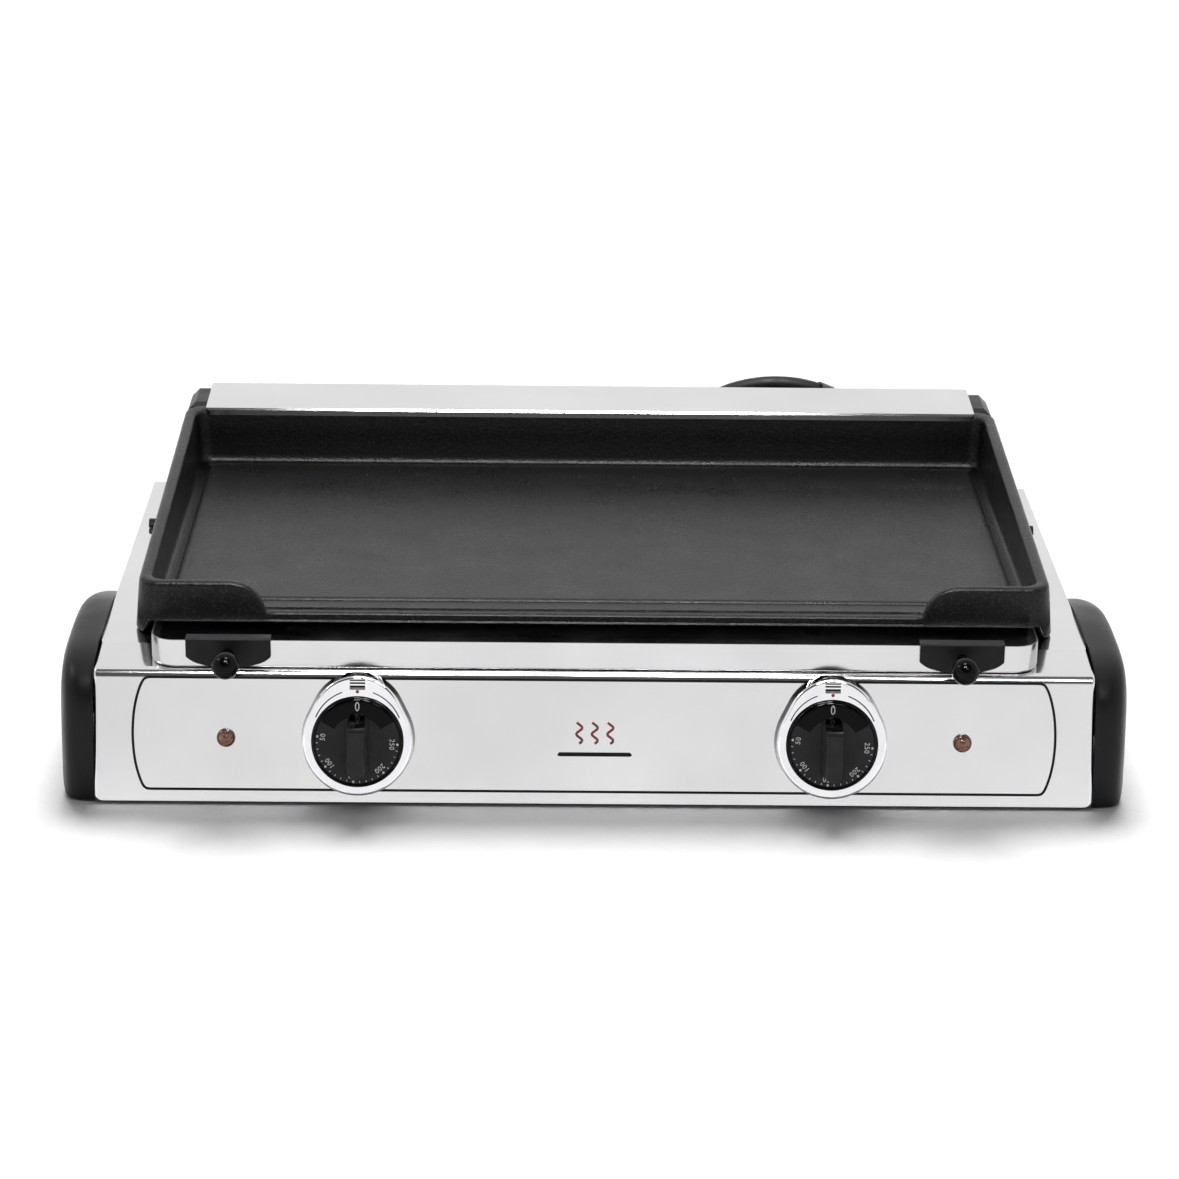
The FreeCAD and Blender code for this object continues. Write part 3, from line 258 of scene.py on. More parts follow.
amber = material("amber", srgb("955A3E"), srgb("AC7050"), (0.08, 0.18), patch=700,
                 bumps=[(500, 0.00003, EVEN, "cells")], Coat_Weight=0.7, Coat_Roughness=0.05)
amber_core = material("amber_core", srgb("7A4A36"), srgb("94604A"), (0.12, 0.22), patch=900,
                      bumps=[(700, 0.00002, EVEN, "cells")], Coat_Weight=0.7, Coat_Roughness=0.05)
lamp_housing = material("lamp_housing", srgb("D8D2C4"), srgb("E6E0D2"), (0.4, 0.5), patch=300,
                        bumps=[(2000, 0.00001, EVEN, "noise")])
case_plastic = material("case_plastic", srgb("2B2622"), srgb("3A332D"), (0.4, 0.55), patch=90,
                        bumps=[(1500, 0.00001, EVEN, "noise")])
sheath = material("sheath", srgb("6E6A63"), srgb("8B857B"), (0.35, 0.5), patch=40, metallic=1.0,
                  bumps=[(900, 0.00001, EVEN, "noise")])
copper = material("copper", srgb("B87350"), srgb("CC8A66"), (0.2, 0.35), patch=120, metallic=1.0,
                  bumps=[(1500, 0.000005, EVEN, "noise")])
ceramic = material("ceramic", srgb("DAD7CF"), srgb("ECE9E2"), (0.3, 0.45), patch=90,
                   bumps=[(1400, 0.00001, EVEN, "noise")])
insulation = material("insulation", srgb("8F5A28"), srgb("A56A30"), (0.4, 0.5), patch=90,
                      bumps=[(2200, 0.00001, EVEN, "noise")])
brass = material("brass", srgb("C9A24E"), srgb("DDBB6E"), (0.15, 0.3), patch=200, metallic=1.0,
                 bumps=[(1500, 0.000005, EVEN, "noise")])
grey_plastic = material("grey_plastic", srgb("3C3D40"), srgb("4B4C50"), (0.4, 0.5), patch=120,
                        bumps=[(1800, 0.00001, EVEN, "noise")])

BEZEL_PAINTED_SHADE = (0.0072, 0.0088)       # heights above the panel between which the painted dark reflection and shade on the bezel's wall fade out to bright chrome


def bezel_with_painted_shade():
    """Chrome with a painted dark reflection and contact shade on its drafted wall, from the panel up to the
    rounded front edge.
    """
    made = chrome.copy()
    made.name = "bezel_chrome"
    tree = made.node_tree
    where = node(tree, "ShaderNodeTexCoord").outputs["Object"]
    from_panel = node(tree, "ShaderNodeVectorMath", {0: where, 1: model(0, 0, PANEL_FOOT_Z)},
                      operation="SUBTRACT").outputs[0]
    height = node(tree, "ShaderNodeVectorMath", {0: from_panel, 1: PANEL_OUT},
                  operation="DOT_PRODUCT").outputs["Value"]
    base = tree.nodes["Principled BSDF"].inputs["Base Color"]
    # painted shade: the wall's colour goes from a dark grey near the panel to the chrome's own colour
    # higher up
    bright = remap(tree, height, *BEZEL_PAINTED_SHADE, 0, 1)
    tree.links.new(blend_colour(tree, bright, srgb("1E1F22"), base.links[0].from_socket), base)
    return made


bezel_chrome = bezel_with_painted_shade()

FINISHES = {
    "stainless_polished": steel, "galvanised_steel": galvanised, "screw_steel": screw_metal,
    "plate_enamel": enamel, "black_screw": tab_black, "element_sheath": sheath, "copper_bulb": copper,
    "thermostat_case": case_plastic, "shaft_steel": screw_metal, "bezel_chrome": bezel_chrome,
    "dial_black": dial_matte, "grip_black": dial_matte, "pointer_red": red_dot, "lamp_amber": amber,
    "lamp_housing": lamp_housing, "cover_plastic": cover_plastic, "handle_black": tab_black,
    "ball_black": ball_black, "rubber_black": rubber, "nut_plastic": grey_plastic,
    "terminal_ceramic": ceramic, "wire_insulation": insulation, "plug_black": rubber, "pin_brass": brass,
    "housing_black": housing_black,
}
for cad_node in nodes.values():
    for held in cad_node.material_slots:
        held.material = FINISHES[held.material.name.split(".")[0]]
for held in nodes["drip_tray"].material_slots:
    held.material = tray_steel

# ---------------------------------------------------------------- mains cord
CORD_DIAMETER = 0.0084
GLAND_ROUTE = [(-60, 443, 30), (-60, 457, 28.6), (-54.5, 470, 24), (-43, 480, 17.5), (-27, 486, 11.5),
               (-8, 489, 7.4), (14, 489.8, 5.2), (38, 489.4, 4.6), (64, 489.8, 4.5), (90, 490.6, 4.6)]
PLUG_ROUTE = [(143, 482.4, 4.9), (160, 483.2, 4.7), (178, 484.5, 6.2), (196, 485, 10.4), (215, 485, 14.7)]
COIL_X, COIL_R, COIL_BUNDLE, COIL_LEAN, COIL_TOP_Y = 127.0, 67.0, 9.5, math.radians(29), 421.5
COIL_TURNS = 3
COIL_STEPS = 20             # control points in each turn
STRAND_R = 6.15             # the strands' distance from the middle of the bundle
FIRST_STRAND = math.radians(16)

coil_up = Vector((0, -math.sin(COIL_LEAN), math.cos(COIL_LEAN)))
coil_mid = Vector((COIL_X, COIL_TOP_Y - COIL_R * coil_up.y, COIL_R * coil_up.z + COIL_BUNDLE))
coil_side = Vector((0, math.cos(COIL_LEAN), math.sin(COIL_LEAN)))
control_r = COIL_R * 8 / (6 + 2 * math.cos(2 * math.pi / COIL_STEPS))
coil_points = []
for i in range(COIL_TURNS * COIL_STEPS + 1):
    turned = 2 * math.pi * i / COIL_STEPS
    outward = Vector((1, 0, 0)) * math.sin(turned) - coil_up * math.cos(turned)
    strand = FIRST_STRAND + turned / 4
    coil_points.append(coil_mid + outward * (control_r + STRAND_R * math.cos(strand))
                       + coil_side * STRAND_R * math.sin(strand))
cord_points = [model(*p) for p in GLAND_ROUTE + coil_points + PLUG_ROUTE]
cord_curve = bpy.data.curves.new("mains_cord", "CURVE")
cord_curve.dimensions = "3D"
cord_curve.bevel_depth = CORD_DIAMETER / 2
cord_curve.bevel_resolution = 6
cord_curve.resolution_u = 6
cord_curve.use_fill_caps = True
line = cord_curve.splines.new("NURBS")
line.points.add(len(cord_points) - 1)
for point, at in zip(line.points, cord_points):
    point.co = (*at, 1.0)
line.order_u = 3
line.use_endpoint_u = True
cord = add_object("mains_cord", cord_curve, replaces=["power_cord", "cord_coil"],
                  materials=[rubber])

# ---------------------------------------------------------------- griddle plate
PLATE_FRONT, PLATE_REAR, PLATE_HALF, PLATE_DRAFT = 66.0, 370.0, 269.2, 2.4
RIM_FRONT_Z, RIM_REAR_Z, RIM_WIDTH = 112.9, 128.8, 7.8
FIELD_HALF, FIELD_FRONT, FIELD_REAR = 251.5, 91.0, 349.0
FIELD_Z, CHANNEL_Z, LIP_Z, LIP_UNDER, PLATE_UNDER, DECK_Z = 95.2, 93.6, 94.4, 88.6, 86.6, 81.0
# step at each end of the low front lip: distance from the middle, height above the lip
SPOUT = [(193.6, 0.0), (194.6, 1.6), (195.6, 4.6), (197.0, 8.0), (198.4, 10.2), (200.2, 12.4),
         (203.4, 15.2), (207.0, 17.0), (211.0, 18.0), (215.0, 18.6)]


def spout_height(x):
    """Height of the front wall's top above the lip, at a distance x from the middle."""
    x = abs(x)
    if x <= SPOUT[0][0]:
        return 0.0
    for (x0, z0), (x1, z1) in zip(SPOUT, SPOUT[1:]):
        if x <= x1:
            return z0 + (z1 - z0) * (x - x0) / (x1 - x0)
    return SPOUT[-1][1]


def rim_top(x, y):
    """Height of the plate's rim at a point of the plan."""
    height = RIM_FRONT_Z + (RIM_REAR_Z - RIM_FRONT_Z) * (y - PLATE_FRONT) / (PLATE_REAR - PLATE_FRONT)
    if y < PLATE_FRONT + 14 and abs(x) < 216:
        height = min(height, LIP_Z + spout_height(x))
    return height


CORNER_STEPS = 9


def plan_loop(half, front, rear, radius):
    """Plan points round a rectangle with round corners, with the same breaks in the sides on every loop."""
    inner = [-228, -219] + [-x for x, _ in reversed(SPOUT)] + [-185, -170, -120, -60]
    breaks = inner + [0] + [-x for x in reversed(inner)]
    sides = [0.02, 0.08, 0.25, 0.5, 0.75, 0.92, 0.98]

    def corner(cx, cy, start):
        return [(cx + radius * math.cos(a), cy + radius * math.sin(a)) for a in
                (math.radians(start + 90 * i / CORNER_STEPS) for i in range(CORNER_STEPS + 1))]

    low, high = front + radius, rear - radius
    points = [(x, front) for x in breaks]
    points += corner(half - radius, low, -90)
    points += [(half, low + (high - low) * s) for s in sides]
    points += corner(half - radius, high, 0)
    points += [(x, rear) for x in reversed(breaks)]
    points += corner(-half + radius, high, 90)
    points += [(-half, high - (high - low) * s) for s in sides]
    points += corner(-half + radius, low, 180)
    return points


def foot_z(x, y):
    """Lower edge of the skirt: it stands on the deck but for the passage of the tray in front."""
    if y > PLATE_FRONT + 31:
        return DECK_Z + 0.05
    out = min(max((abs(x) - 263.5) / 2.6, 0.0), 1.0)
    return LIP_UNDER + (DECK_Z + 0.05 - LIP_UNDER) * out


def plate_ring(half, front, rear, radius, height):
    return [model(x, y, height(x, y)) for x, y in plan_loop(half, front, rear, radius)]


def skirt_rings():
    """Underside of the plate and the outside of its skirt, up to the rim."""
    foot, front, rear = PLATE_HALF + PLATE_DRAFT, PLATE_FRONT, PLATE_REAR

    def wall(share, drop):
        """Outside of the skirt: share 0 at its foot, 1 at the rim."""
        half = foot - PLATE_DRAFT * share
        return plate_ring(half, front - 1 + share, rear + 2 - 2 * share, 12,
                          lambda x, y: foot_z(x, y) + (rim_top(x, y) - foot_z(x, y)) * share - drop)

    rings = [
        plate_ring(foot - 9, front + 9, rear - 9, 6, lambda x, y: PLATE_UNDER),
        plate_ring(foot - 7.5, front + 5, rear - 7.5, 7,
                   lambda x, y: min(foot_z(x, y), PLATE_UNDER - 0.1) + 0.1),
        plate_ring(foot - 2.0, front + 1.2, rear, 10.5, foot_z),
        plate_ring(foot - 0.5, front - 0.6, rear + 1.5, 11.6, lambda x, y: foot_z(x, y) + 0.6),
    ]
    stations = [(0.0, -2.0), (0.3, 0.0), (0.6, 0.0), (0.85, 0.0), (1.0, 2.6)]
    return rings + [wall(share, drop) for share, drop in stations]


def rim_rings():
    """The rounded rim, from its outer edge over the top to its inner edge."""
    front, rear, rings = PLATE_FRONT, PLATE_REAR, []
    for inset, drop in ((0.25, 1.5), (0.9, 0.6), (1.9, 0.1), (3.2, 0.0)):
        rings.append(plate_ring(PLATE_HALF - inset, front + inset, rear - inset, 12 - inset,
                                lambda x, y: rim_top(x, y) - drop))
    for inset, drop in ((5.6, 0.1), (6.8, 0.6), (7.5, 1.5), (RIM_WIDTH, 2.8)):
        rings.append(plate_ring(PLATE_HALF - inset, front + inset - 0.8, rear - inset - 2.4,
                                12 - inset * 0.4,
                                lambda x, y: max(rim_top(x, y) - drop, CHANNEL_Z + 0.55)))
    return rings


def pan_rings():
    """Inside of the walls, the grease channel and the raised edge of the cooking field."""
    front, rear, rings = PLATE_FRONT, PLATE_REAR, []
    for share in (0.45, 0.9):
        rings.append(plate_ring(PLATE_HALF - RIM_WIDTH - 1.3 * share, front + 7.2 + 1.2 * share,
                                rear - 10.2 - 0.8 * share, 9.0,
                                lambda x, y: max(CHANNEL_Z + 0.3, CHANNEL_Z + 1.8
                                                 + (rim_top(x, y) - 4.6 - CHANNEL_Z) * (1 - share))))
    for inset, rise in ((9.8, 0.9), (10.8, 0.2), (12.0, 0.0), (14.5, 0.0)):
        rings.append(plate_ring(PLATE_HALF - inset, front + inset - 0.9, rear - inset - 2.0, 9.0,
                                lambda x, y: CHANNEL_Z + min(rise, rim_top(x, y) - CHANNEL_Z)))
    for grow, height in ((1.2, CHANNEL_Z + 0.25), (0.7, CHANNEL_Z + 1.1), (-0.6, FIELD_Z - 0.05),
                         (-2.6, FIELD_Z)):
        rings.append(plate_ring(FIELD_HALF + grow, FIELD_FRONT - grow, FIELD_REAR + grow, 7.5,
                                lambda x, y: height))
    return rings


def griddle_plate():
    bm = bmesh.new()
    add_rings(bm, skirt_rings() + rim_rings() + pan_rings())
    return add_object("cast_plate", mesh_from(bm, "cast_plate", 50),
                      replaces=["griddle_plate"], materials=[enamel])


griddle_plate()

# ---------------------------------------------------------------- controls
KNOB_X, KNOB_H, LAMP_X = 137.0, 37.5, 213.5
DIAL_R, DIAL_FACE, GRIP_TIP = 26.0, 12.2, 31.0
SIDES = {"left": -1, "right": 1}


def on_panel(x, height=KNOB_H):
    """Turns the panel's own frame (x across, y up the panel, z out of it) into the row's frame."""
    turn = Matrix((Vector((1, 0, 0)), PANEL_UP, PANEL_OUT)).transposed().to_4x4()
    at = model(x, 0, PANEL_FOOT_Z) + PANEL_UP * height * MM
    return Matrix.Translation(at) @ turn @ Matrix.Scale(MM, 4)


def on_dial(angle, radius, z=0.0):
    """A place on the dial, counter-clockwise from its top, turned to face outwards."""
    return Matrix.Rotation(angle, 4, "Z") @ Matrix.Translation((0, radius, z))


SECTOR_HALF, SECTOR_INNER = math.radians(59), 15.2
BORE_R, DIAL_BACK = 6.2, 3.9


def dial(side):
    """Numbered disc with a bevelled rim and a polished sector round the 0."""
    bm = bmesh.new()
    edge = [(-0.4, DIAL_BACK), (0, DIAL_BACK + 0.5), (0, DIAL_FACE - 1.8), (-0.2, DIAL_FACE - 1.1),
            (-0.7, DIAL_FACE - 0.6), (-1.3, DIAL_FACE - 0.2), (-1.8, DIAL_FACE - 0.05), (-2.3, DIAL_FACE)]
    profile = [(BORE_R, DIAL_BACK)] + [(DIAL_R + r, z) for r, z in edge]
    profile += [(SECTOR_INNER + 0.35, DIAL_FACE), (SECTOR_INNER, DIAL_FACE), (BORE_R, DIAL_FACE)]
    steps = 180
    rings = [[Vector((r * math.sin(2 * math.pi * i / steps), r * math.cos(2 * math.pi * i / steps), z))
              for i in range(steps)] for r, z in profile]
    loops = add_rings(bm, rings, caps=(False, False))
    for i in range(steps):
        j = (i + 1) % steps
        bm.faces.new((loops[0][i], loops[-1][i], loops[-1][j], loops[0][j]))
    bmesh.ops.transform(bm, matrix=on_panel(SIDES[side] * KNOB_X), verts=bm.verts)
    mesh = mesh_from(bm, "dial_disc_" + side, 30)
    mesh.materials.append(dial_matte)
    mesh.materials.append(dial_gloss)
    back = on_panel(SIDES[side] * KNOB_X).inverted()
    for face in mesh.polygons:
        at = back @ face.center
        radius, angle = math.hypot(at.x, at.y), math.atan2(abs(at.x), at.y)
        if at.z > 9 and radius > SECTOR_INNER and (angle < SECTOR_HALF or radius > 24.4):
            face.material_index = 1
    return add_object("dial_disc_" + side, mesh, "knob_" + side, ["dial_" + side])


FIRST_MARK, MARK_STEP, MARK_R = math.radians(81.7), math.radians(9.265), 23.2
DOT_R, TICK_WIDTH, TICK_LENGTH = 0.72, 0.42, 1.15
PRINT_LAYER = (-0.02, 0.05)         # bottom and top of the print, from the face it is on


def dial_print(side):
    """Raised print of the dial: the 0, the temperatures, ticks and dots."""
    bm = bmesh.new()
    w, h, cut = TICK_WIDTH / 2, TICK_LENGTH / 2, TICK_WIDTH / 4
    tick = [(-w + cut, -h), (w - cut, -h), (w, -h + cut), (w, h - cut), (w - cut, h), (-w + cut, h),
            (-w, h - cut), (-w, -h + cut)]
    turns = [2 * math.pi * k / 20 for k in range(20)]
    dot = [(DOT_R * math.cos(a), DOT_R * math.sin(a)) for a in turns]
    for i in range(21):
        at = on_dial(FIRST_MARK + MARK_STEP * i, MARK_R, DIAL_FACE)
        outline = tick if i % 5 else dot
        add_rings(bm, [[at @ Vector((x, y, z)) for x, y in outline] for z in PRINT_LAYER])
    # wording, angle, distance of its foot from the centre, size, width against a plain letter's
    texts = [(str(50 + 50 * k), FIRST_MARK + MARK_STEP * 5 * k, 18.65, 4.2, 0.94) for k in range(5)]
    texts.append(("0", 0.0, 18.3, 7.7, 0.75))
    for body, angle, radius, size, narrow in texts:
        curve = bpy.data.curves.new("numeral", "FONT")
        curve.body, curve.size, curve.align_x = body, size, "CENTER"
        curve.extrude, curve.offset = 0.035, 0.02
        curve.resolution_u, curve.space_character = 6, 1.12
        writing = bpy.data.objects.new("numeral", curve)
        bpy.context.scene.collection.objects.link(writing)
        shape = bpy.data.meshes.new_from_object(writing)
        shape.transform(on_dial(angle, radius, DIAL_FACE + 0.015) @ Matrix.Diagonal((narrow, 1, 1, 1)))
        bm.from_mesh(shape)
        bpy.data.objects.remove(writing)
    bmesh.ops.transform(bm, matrix=on_panel(SIDES[side] * KNOB_X), verts=bm.verts)
    mesh = mesh_from(bm, "dial_print_" + side, 0)
    return add_object("dial_print_" + side, mesh, "knob_" + side, materials=[print_white])


# ends of the pointer facet: up the dial, out of the panel
GRIP_FACET = ((8.6, GRIP_TIP), (16.0, 13.4))


def stadium(half, low, high, radius, count=10):
    """Plan points of a bar with round ends, with a break where the facet starts."""
    def corner(cx, cy, start):
        return [(cx + radius * math.cos(a), cy + radius * math.sin(a)) for a in
                (math.radians(start + 90 * i / count) for i in range(count + 1))]

    spread = (low + radius, -8.0, 0.0, 5.0)
    points = corner(half - radius, low + radius, -90)[:-1]
    points += [(half, y) for y in spread] + [(half, GRIP_FACET[0][0])]
    points += corner(half - radius, high - radius, 0)
    mirrored = [(-x, y) for x, y in reversed(points)]
    return points + mirrored


def knob_grip(side):
    """Bar grip, lower at its end where the pointer facet slopes down."""
    base = stadium(6.65, -19.8, 17.0, 5.4)
    top = stadium(4.4, -18.2, 14.4, 3.8)
    (y0, z0), (y1, z1) = GRIP_FACET
    fall = (z1 - z0) / (y1 - y0)
    low = DIAL_FACE - 0.3

    def reach(index):
        """How far up its line, from base to top, each point goes before it meets the facet."""
        (_, yb), (_, yt) = base[index], top[index]
        if yt <= y0 + 0.01:
            return 1.0
        slope = (GRIP_TIP - low) - fall * (yt - yb)
        return min(1.0, (z0 + fall * (yb - y0) - low) / slope)

    limits = [reach(i) for i in range(len(base))]
    rings = []
    for share in (0.0, 0.06, 0.3, 0.55, 0.8, 1.0):
        ring = []
        for (xb, yb), (xt, yt), limit in zip(base, top, limits):
            s = share * limit
            ring.append(Vector((xb + (xt - xb) * s, yb + (yt - yb) * s, low + (GRIP_TIP - low) * s)))
        rings.append(ring)
    bm = bmesh.new()
    loops = add_rings(bm, rings, caps=(True, False))
    rim = loops[-1]
    count = len(rim)
    for i in range(count // 2 - 1):
        a, b, c, d = rim[i], rim[i + 1], rim[count - 2 - i], rim[count - 1 - i]
        bm.faces.new((a, b, c, d))
    mesh = mesh_from(bm, "grip_bar_" + side, 40)
    grip = add_object("grip_bar_" + side, mesh, "knob_" + side, ["knob_grip_" + side],
                      [dial_matte, dial_gloss])
    rounding = grip.modifiers.new("rounding", "BEVEL")
    rounding.width, rounding.segments, rounding.limit_method = 0.8, 3, "ANGLE"
    rounding.angle_limit = math.radians(38)
    apply_modifiers(grip)
    mesh = grip.data
    for face in mesh.polygons:
        sloped = face.normal.y > 0.75 and face.normal.z > 0.2
        if sloped and face.center.y > 8.4 and abs(face.center.x) < 4.6:
            face.material_index = 1
    mesh.transform(on_panel(SIDES[side] * KNOB_X))
    mesh.shade_smooth()
    mesh.set_sharp_from_angle(angle=math.radians(40))
    return grip


LAMP_RINGS = [(4.6, 0.1), (5.4, 0.1), (5.5, 0.5), (5.3, 1.4), (4.9, 2.1), (4.4, 2.5), (4.1, 2.3),
              (3.9, 2.4), (3.3, 3.1), (2.5, 3.6), (2.1, 3.5), (1.9, 3.6), (1.2, 3.9), (0.5, 4.05)]


def lamp_lens(side):
    """Neon lamp: a dark collar, a domed ring and a core."""
    steps = 48
    bm = bmesh.new()
    rings = [[Vector((r * math.cos(2 * math.pi * i / steps), r * math.sin(2 * math.pi * i / steps), z))
              for i in range(steps)] for r, z in LAMP_RINGS]
    add_rings(bm, rings)
    mesh = mesh_from(bm, "lamp_dome_" + side, 40)
    for finish in (amber_rim, amber, amber_core):
        mesh.materials.append(finish)
    for face in mesh.polygons:
        radius = math.hypot(face.center.x, face.center.y)
        face.material_index = 0 if radius > 4.0 else 1 if radius > 2.1 else 2
    mesh.transform(on_panel(SIDES[side] * LAMP_X))
    return add_object("lamp_dome_" + side, mesh, replaces=["lamp_lens_" + side])


SLOT_HALF = 4.4
SLOT_FLOOR = 8.42           # out of the panel, as are the strips' tops
# name, lower and upper edge up the bezel, bottom and top, finish
SLOT_STRIPS = [("slot_top", 33.8, 36.2, SLOT_FLOOR, 8.7, inlay_dark),
               ("slot_low", 31.6, 32.8, SLOT_FLOOR, 8.9, inlay_dark),
               ("slot_lip", 30.4, 31.55, SLOT_FLOOR, 9.2, inlay_grey),
               ("slot_bar", 34.7, 35.45, 8.72, 9.8, chrome)]


def slot_inlays(side):
    """Dark and grey strips in the bezel's two slots, and the bright bar across the upper one."""
    for name, y0, y1, z0, z1, finish in SLOT_STRIPS:
        outline = ((-SLOT_HALF, y0), (SLOT_HALF, y0), (SLOT_HALF, y1), (-SLOT_HALF, y1))
        bm = bmesh.new()
        add_rings(bm, [[Vector((x, y, z)) for x, y in outline] for z in (z0, z1)])
        bmesh.ops.transform(bm, matrix=on_panel(SIDES[side] * KNOB_X), verts=bm.verts)
        add_object(name + "_" + side, mesh_from(bm, name, 0), materials=[finish])


# ---------------------------------------------------------------- printed lines
def ribbon(points, width, height=0.06, closed=False):
    """A flat printed line along points of the panel, as a closed strip of that width."""
    bm = bmesh.new()
    count = len(points)
    rails = []
    for i, point in enumerate(points):
        before = points[i - 1] if closed or i else point
        after = points[(i + 1) % count] if closed or i < count - 1 else point
        along = Vector((after[0] - before[0], after[1] - before[1], 0)).normalized()
        across = Vector((-along.y, along.x, 0)) * width / 2
        at = Vector((point[0], point[1], 0))
        rails.append([bm.verts.new(at + across * s + Vector((0, 0, z)))
                      for s, z in ((-1, 0.01), (1, 0.01), (1, height), (-1, height))])
    pairs = list(zip(rails, rails[1:])) + ([(rails[-1], rails[0])] if closed else [])
    for a, b in pairs:
        for k in range(4):
            bm.faces.new((a[k], a[(k + 1) % 4], b[(k + 1) % 4], b[k]))
    if not closed:
        bm.faces.new(rails[0])
        bm.faces.new(list(reversed(rails[-1])))
    return bm


CRESCENT_R, CRESCENT_MID, CRESCENT_FLOOR = 26.0, 4.2, 9.2


def crescent_reflection_lines(side):
    """Painted dark reflections: black lines along the edge of the bezel's crescent, one each side of its
    slots.
    """
    at = on_panel(SIDES[side] * KNOB_X) @ Matrix.Translation((0, 0, CRESCENT_FLOOR))
    for name, way in SIDES.items():
        # painted reflection: these dark lines stand in for the dark reflections along the chrome crescent's
        # edge
        arc = [(way * CRESCENT_R * math.sin(a), CRESCENT_MID + CRESCENT_R * math.cos(a))
               for a in (math.radians(degrees) for degrees in range(20, 69, 3))]
        bm = ribbon(arc, 0.7)
        bmesh.ops.transform(bm, matrix=at, verts=bm.verts)
        add_object("crescent_" + side + "_" + name, mesh_from(bm, "crescent_line", 0),
                   materials=[print_black])


for side in SIDES:
    dial(side)
    dial_print(side)
    knob_grip(side)
    lamp_lens(side)
    slot_inlays(side)
    crescent_reflection_lines(side)


def smooth_line(points, steps=8):
    """Catmull-Rom line through points."""
    full = [points[0]] + list(points) + [points[-1]]
    made = []
    for p0, p1, p2, p3 in zip(full, full[1:], full[2:], full[3:]):
        for k in range(steps):
            t = k / steps
            made.append(tuple(0.5 * (2 * b + (c - a) * t + (2 * a - 5 * b + 4 * c - d) * t * t
                                     + (3 * b - 3 * c + d - a) * t ** 3)
                              for a, b, c, d in zip(p0, p1, p2, p3)))
    return made + [points[-1]]


# right end of the printed frame, from the top line round to the bottom one
FRAME_END = [(256.5, 72.8), (259.0, 72.5), (261.3, 70.8), (264.1, 64.4), (266.6, 53.2), (267.5, 40.1),
             (266.8, 27.9), (265.0, 18.3), (262.3, 10.4), (260.0, 7.6), (257.0, 7.1)]


def frame_line():
    """The thin dark line round the controls, with bowed ends."""
    right = smooth_line(FRAME_END, 4)
    left = [(-x, y) for x, y in reversed(right)]
    bm = ribbon(right + left, 1.5, closed=True)
    bmesh.ops.transform(bm, matrix=on_panel(0, 0), verts=bm.verts)
    mesh = mesh_from(bm, "frame_line", 0)
    return add_object("frame_line", mesh, materials=[print_black])


WAVE_GAP, WAVE_LOW, WAVE_REACH = 9, 35.5, 1.7
BAR_HEIGHT = 29.2


def heat_mark():
    """A plain mark in the middle of the panel: three rising waves over a bar."""
    waves = bmesh.new()
    for place_x in (-WAVE_GAP, 0, WAVE_GAP):
        wave = [(place_x + WAVE_REACH * math.sin(t * 1.05), WAVE_LOW + t * 1.25) for t in range(0, 11)]
        part = bpy.data.meshes.new("wave")
        bm = ribbon(smooth_line(wave, 3), 1.5)
        bm.to_mesh(part)
        waves.from_mesh(part)
    bmesh.ops.transform(waves, matrix=on_panel(0, 0), verts=waves.verts)
    ends_up = BAR_HEIGHT + 0.4
    bar = ribbon([(-21, ends_up), (-20.6, BAR_HEIGHT), (20.6, BAR_HEIGHT), (21, ends_up)], 2.4)
    bmesh.ops.transform(bar, matrix=on_panel(0, 0), verts=bar.verts)
    add_object("mark_waves", mesh_from(waves, "mark_waves", 0), materials=[print_red])
    add_object("mark_bar", mesh_from(bar, "mark_bar", 0), materials=[print_black])


frame_line()
heat_mark()

# ---------------------------------------------------------------- floor and light
floor_mesh = bpy.data.meshes.new("floor")
floor_mesh.from_pydata([(-30, -30, 0), (30, -30, 0), (30, 30, 0), (-30, 30, 0)], [], [(0, 1, 2, 3)])
floor = bpy.data.objects.new("floor", floor_mesh)
bpy.context.scene.collection.objects.link(floor)
floor_mesh.materials.append(material("floor", srgb("F6F6F7"), srgb("FAFAFA"), (0.7, 0.8), patch=60,
                                     bumps=[(260, 0.00025, EVEN, "noise")]))

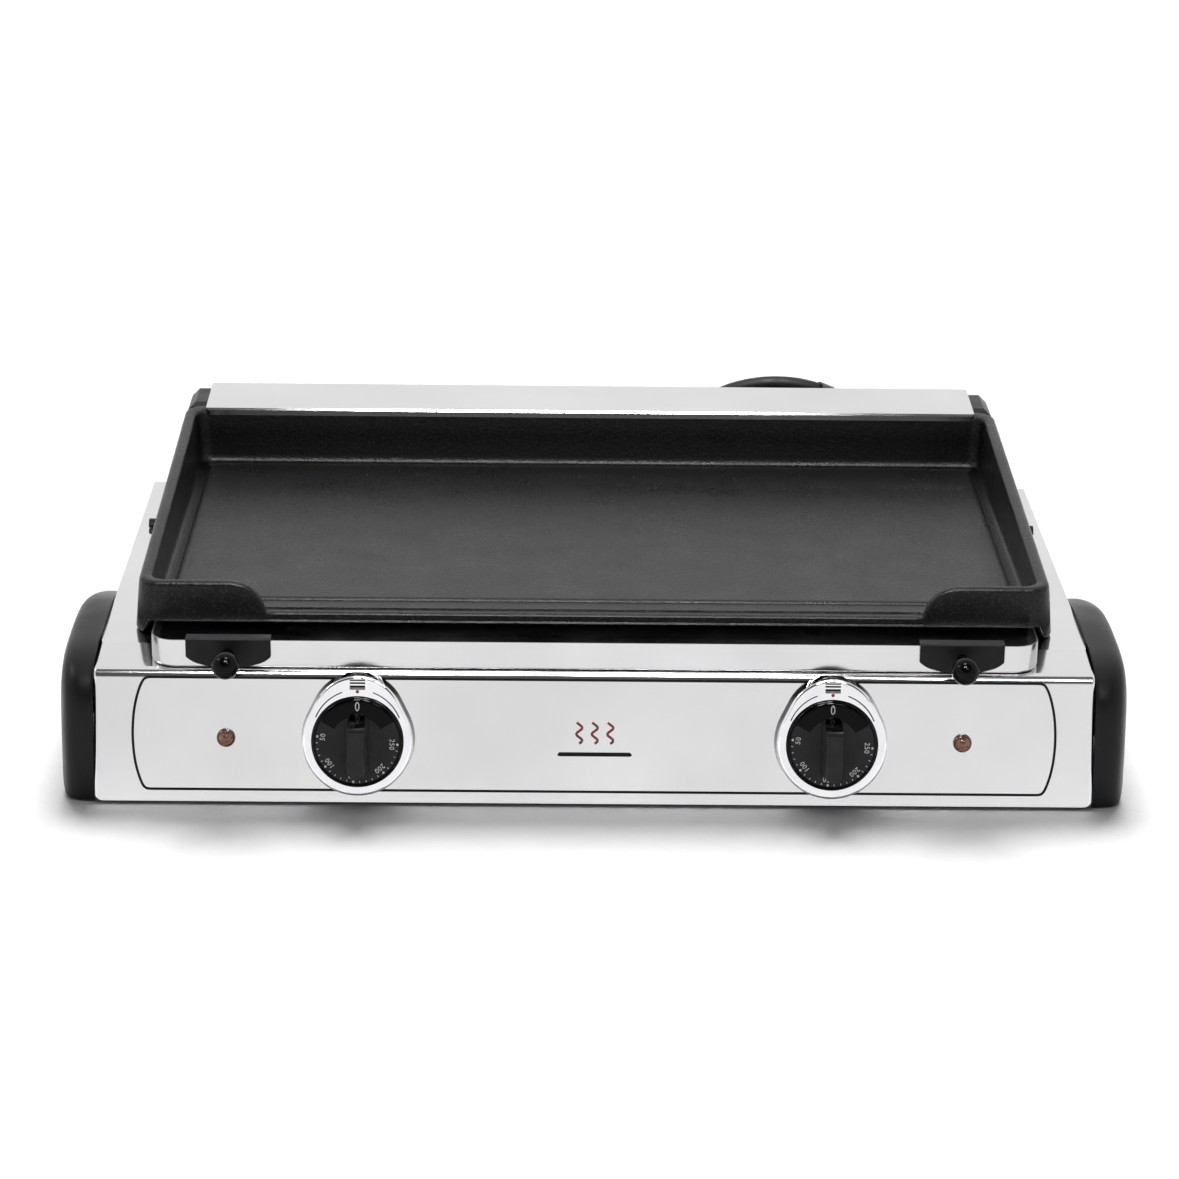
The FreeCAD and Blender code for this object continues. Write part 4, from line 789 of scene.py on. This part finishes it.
world = bpy.data.worlds.new("studio")
bpy.context.scene.world = world
world.use_nodes = True
sky = world.node_tree
WALLS_GLOW, CEILING_GLOW = 0.95, 0.10       # the studio is white but for the ceiling above the camera
FILL = 0.26                                 # share of that light that reaches matt surfaces
sky_at = node(sky, "ShaderNodeTexCoord").outputs["Generated"]
facing = node(sky, "ShaderNodeSeparateXYZ", {"Vector": sky_at})
overhead = node(sky, "ShaderNodeMath", {0: facing.outputs["Y"], 1: -0.8, 2: facing.outputs["Z"]},
                operation="MULTIPLY_ADD")
glow = remap(sky, overhead.outputs[0], 0.90, 1.04, WALLS_GLOW, CEILING_GLOW)
matt_bounces = node(sky, "ShaderNodeLightPath").outputs["Diffuse Depth"]
fill = remap(sky, matt_bounces, 0.0, 1.0, 1.0, FILL)
strength = node(sky, "ShaderNodeMath", {0: glow, 1: fill}, operation="MULTIPLY")
sky.nodes["Background"].inputs["Color"].default_value = (1, 1, 1, 1)
sky.links.new(strength.outputs[0], sky.nodes["Background"].inputs["Strength"])


def softbox(name, at, look_at, width, depth, power):
    """A lamp that shows only in glossy surfaces."""
    light = bpy.data.lights.new(name, "AREA")
    light.shape, light.size, light.size_y, light.energy = "RECTANGLE", width, depth, power
    obj = bpy.data.objects.new(name, light)
    obj.location = at
    obj.rotation_euler = (Vector(look_at) - Vector(at)).to_track_quat("-Z", "Y").to_euler()
    obj.visible_diffuse = False
    bpy.context.scene.collection.objects.link(obj)


PART_MIDDLE = (0, 0, 0.1)
softbox("softbox_top", (0.0, -0.25, 2.0), PART_MIDDLE, 0.5, 0.35, 14)
softbox("softbox_left", (-1.6, 0.0, 1.45), PART_MIDDLE, 0.4, 0.4, 6)
softbox("softbox_front", (0.6, -1.8, 1.65), PART_MIDDLE, 0.4, 0.4, 6)
softbox("window_left", (-0.26, -1.25, 1.85), (0, -0.2, 0.1), 0.25, 0.4, 20)
softbox("window_right", (0.18, -1.25, 1.85), (0, -0.2, 0.1), 0.25, 0.4, 20)

SUN_HEIGHT = math.radians(54)
sun_data = bpy.data.lights.new("back_light", "SUN")
sun_data.energy, sun_data.angle = 4.2, math.radians(30)
sun = bpy.data.objects.new("back_light", sun_data)
towards_sun = Vector((0, math.cos(SUN_HEIGHT), math.sin(SUN_HEIGHT)))
sun.rotation_euler = towards_sun.to_track_quat("Z", "Y").to_euler()
sun.visible_glossy = False
bpy.context.scene.collection.objects.link(sun)
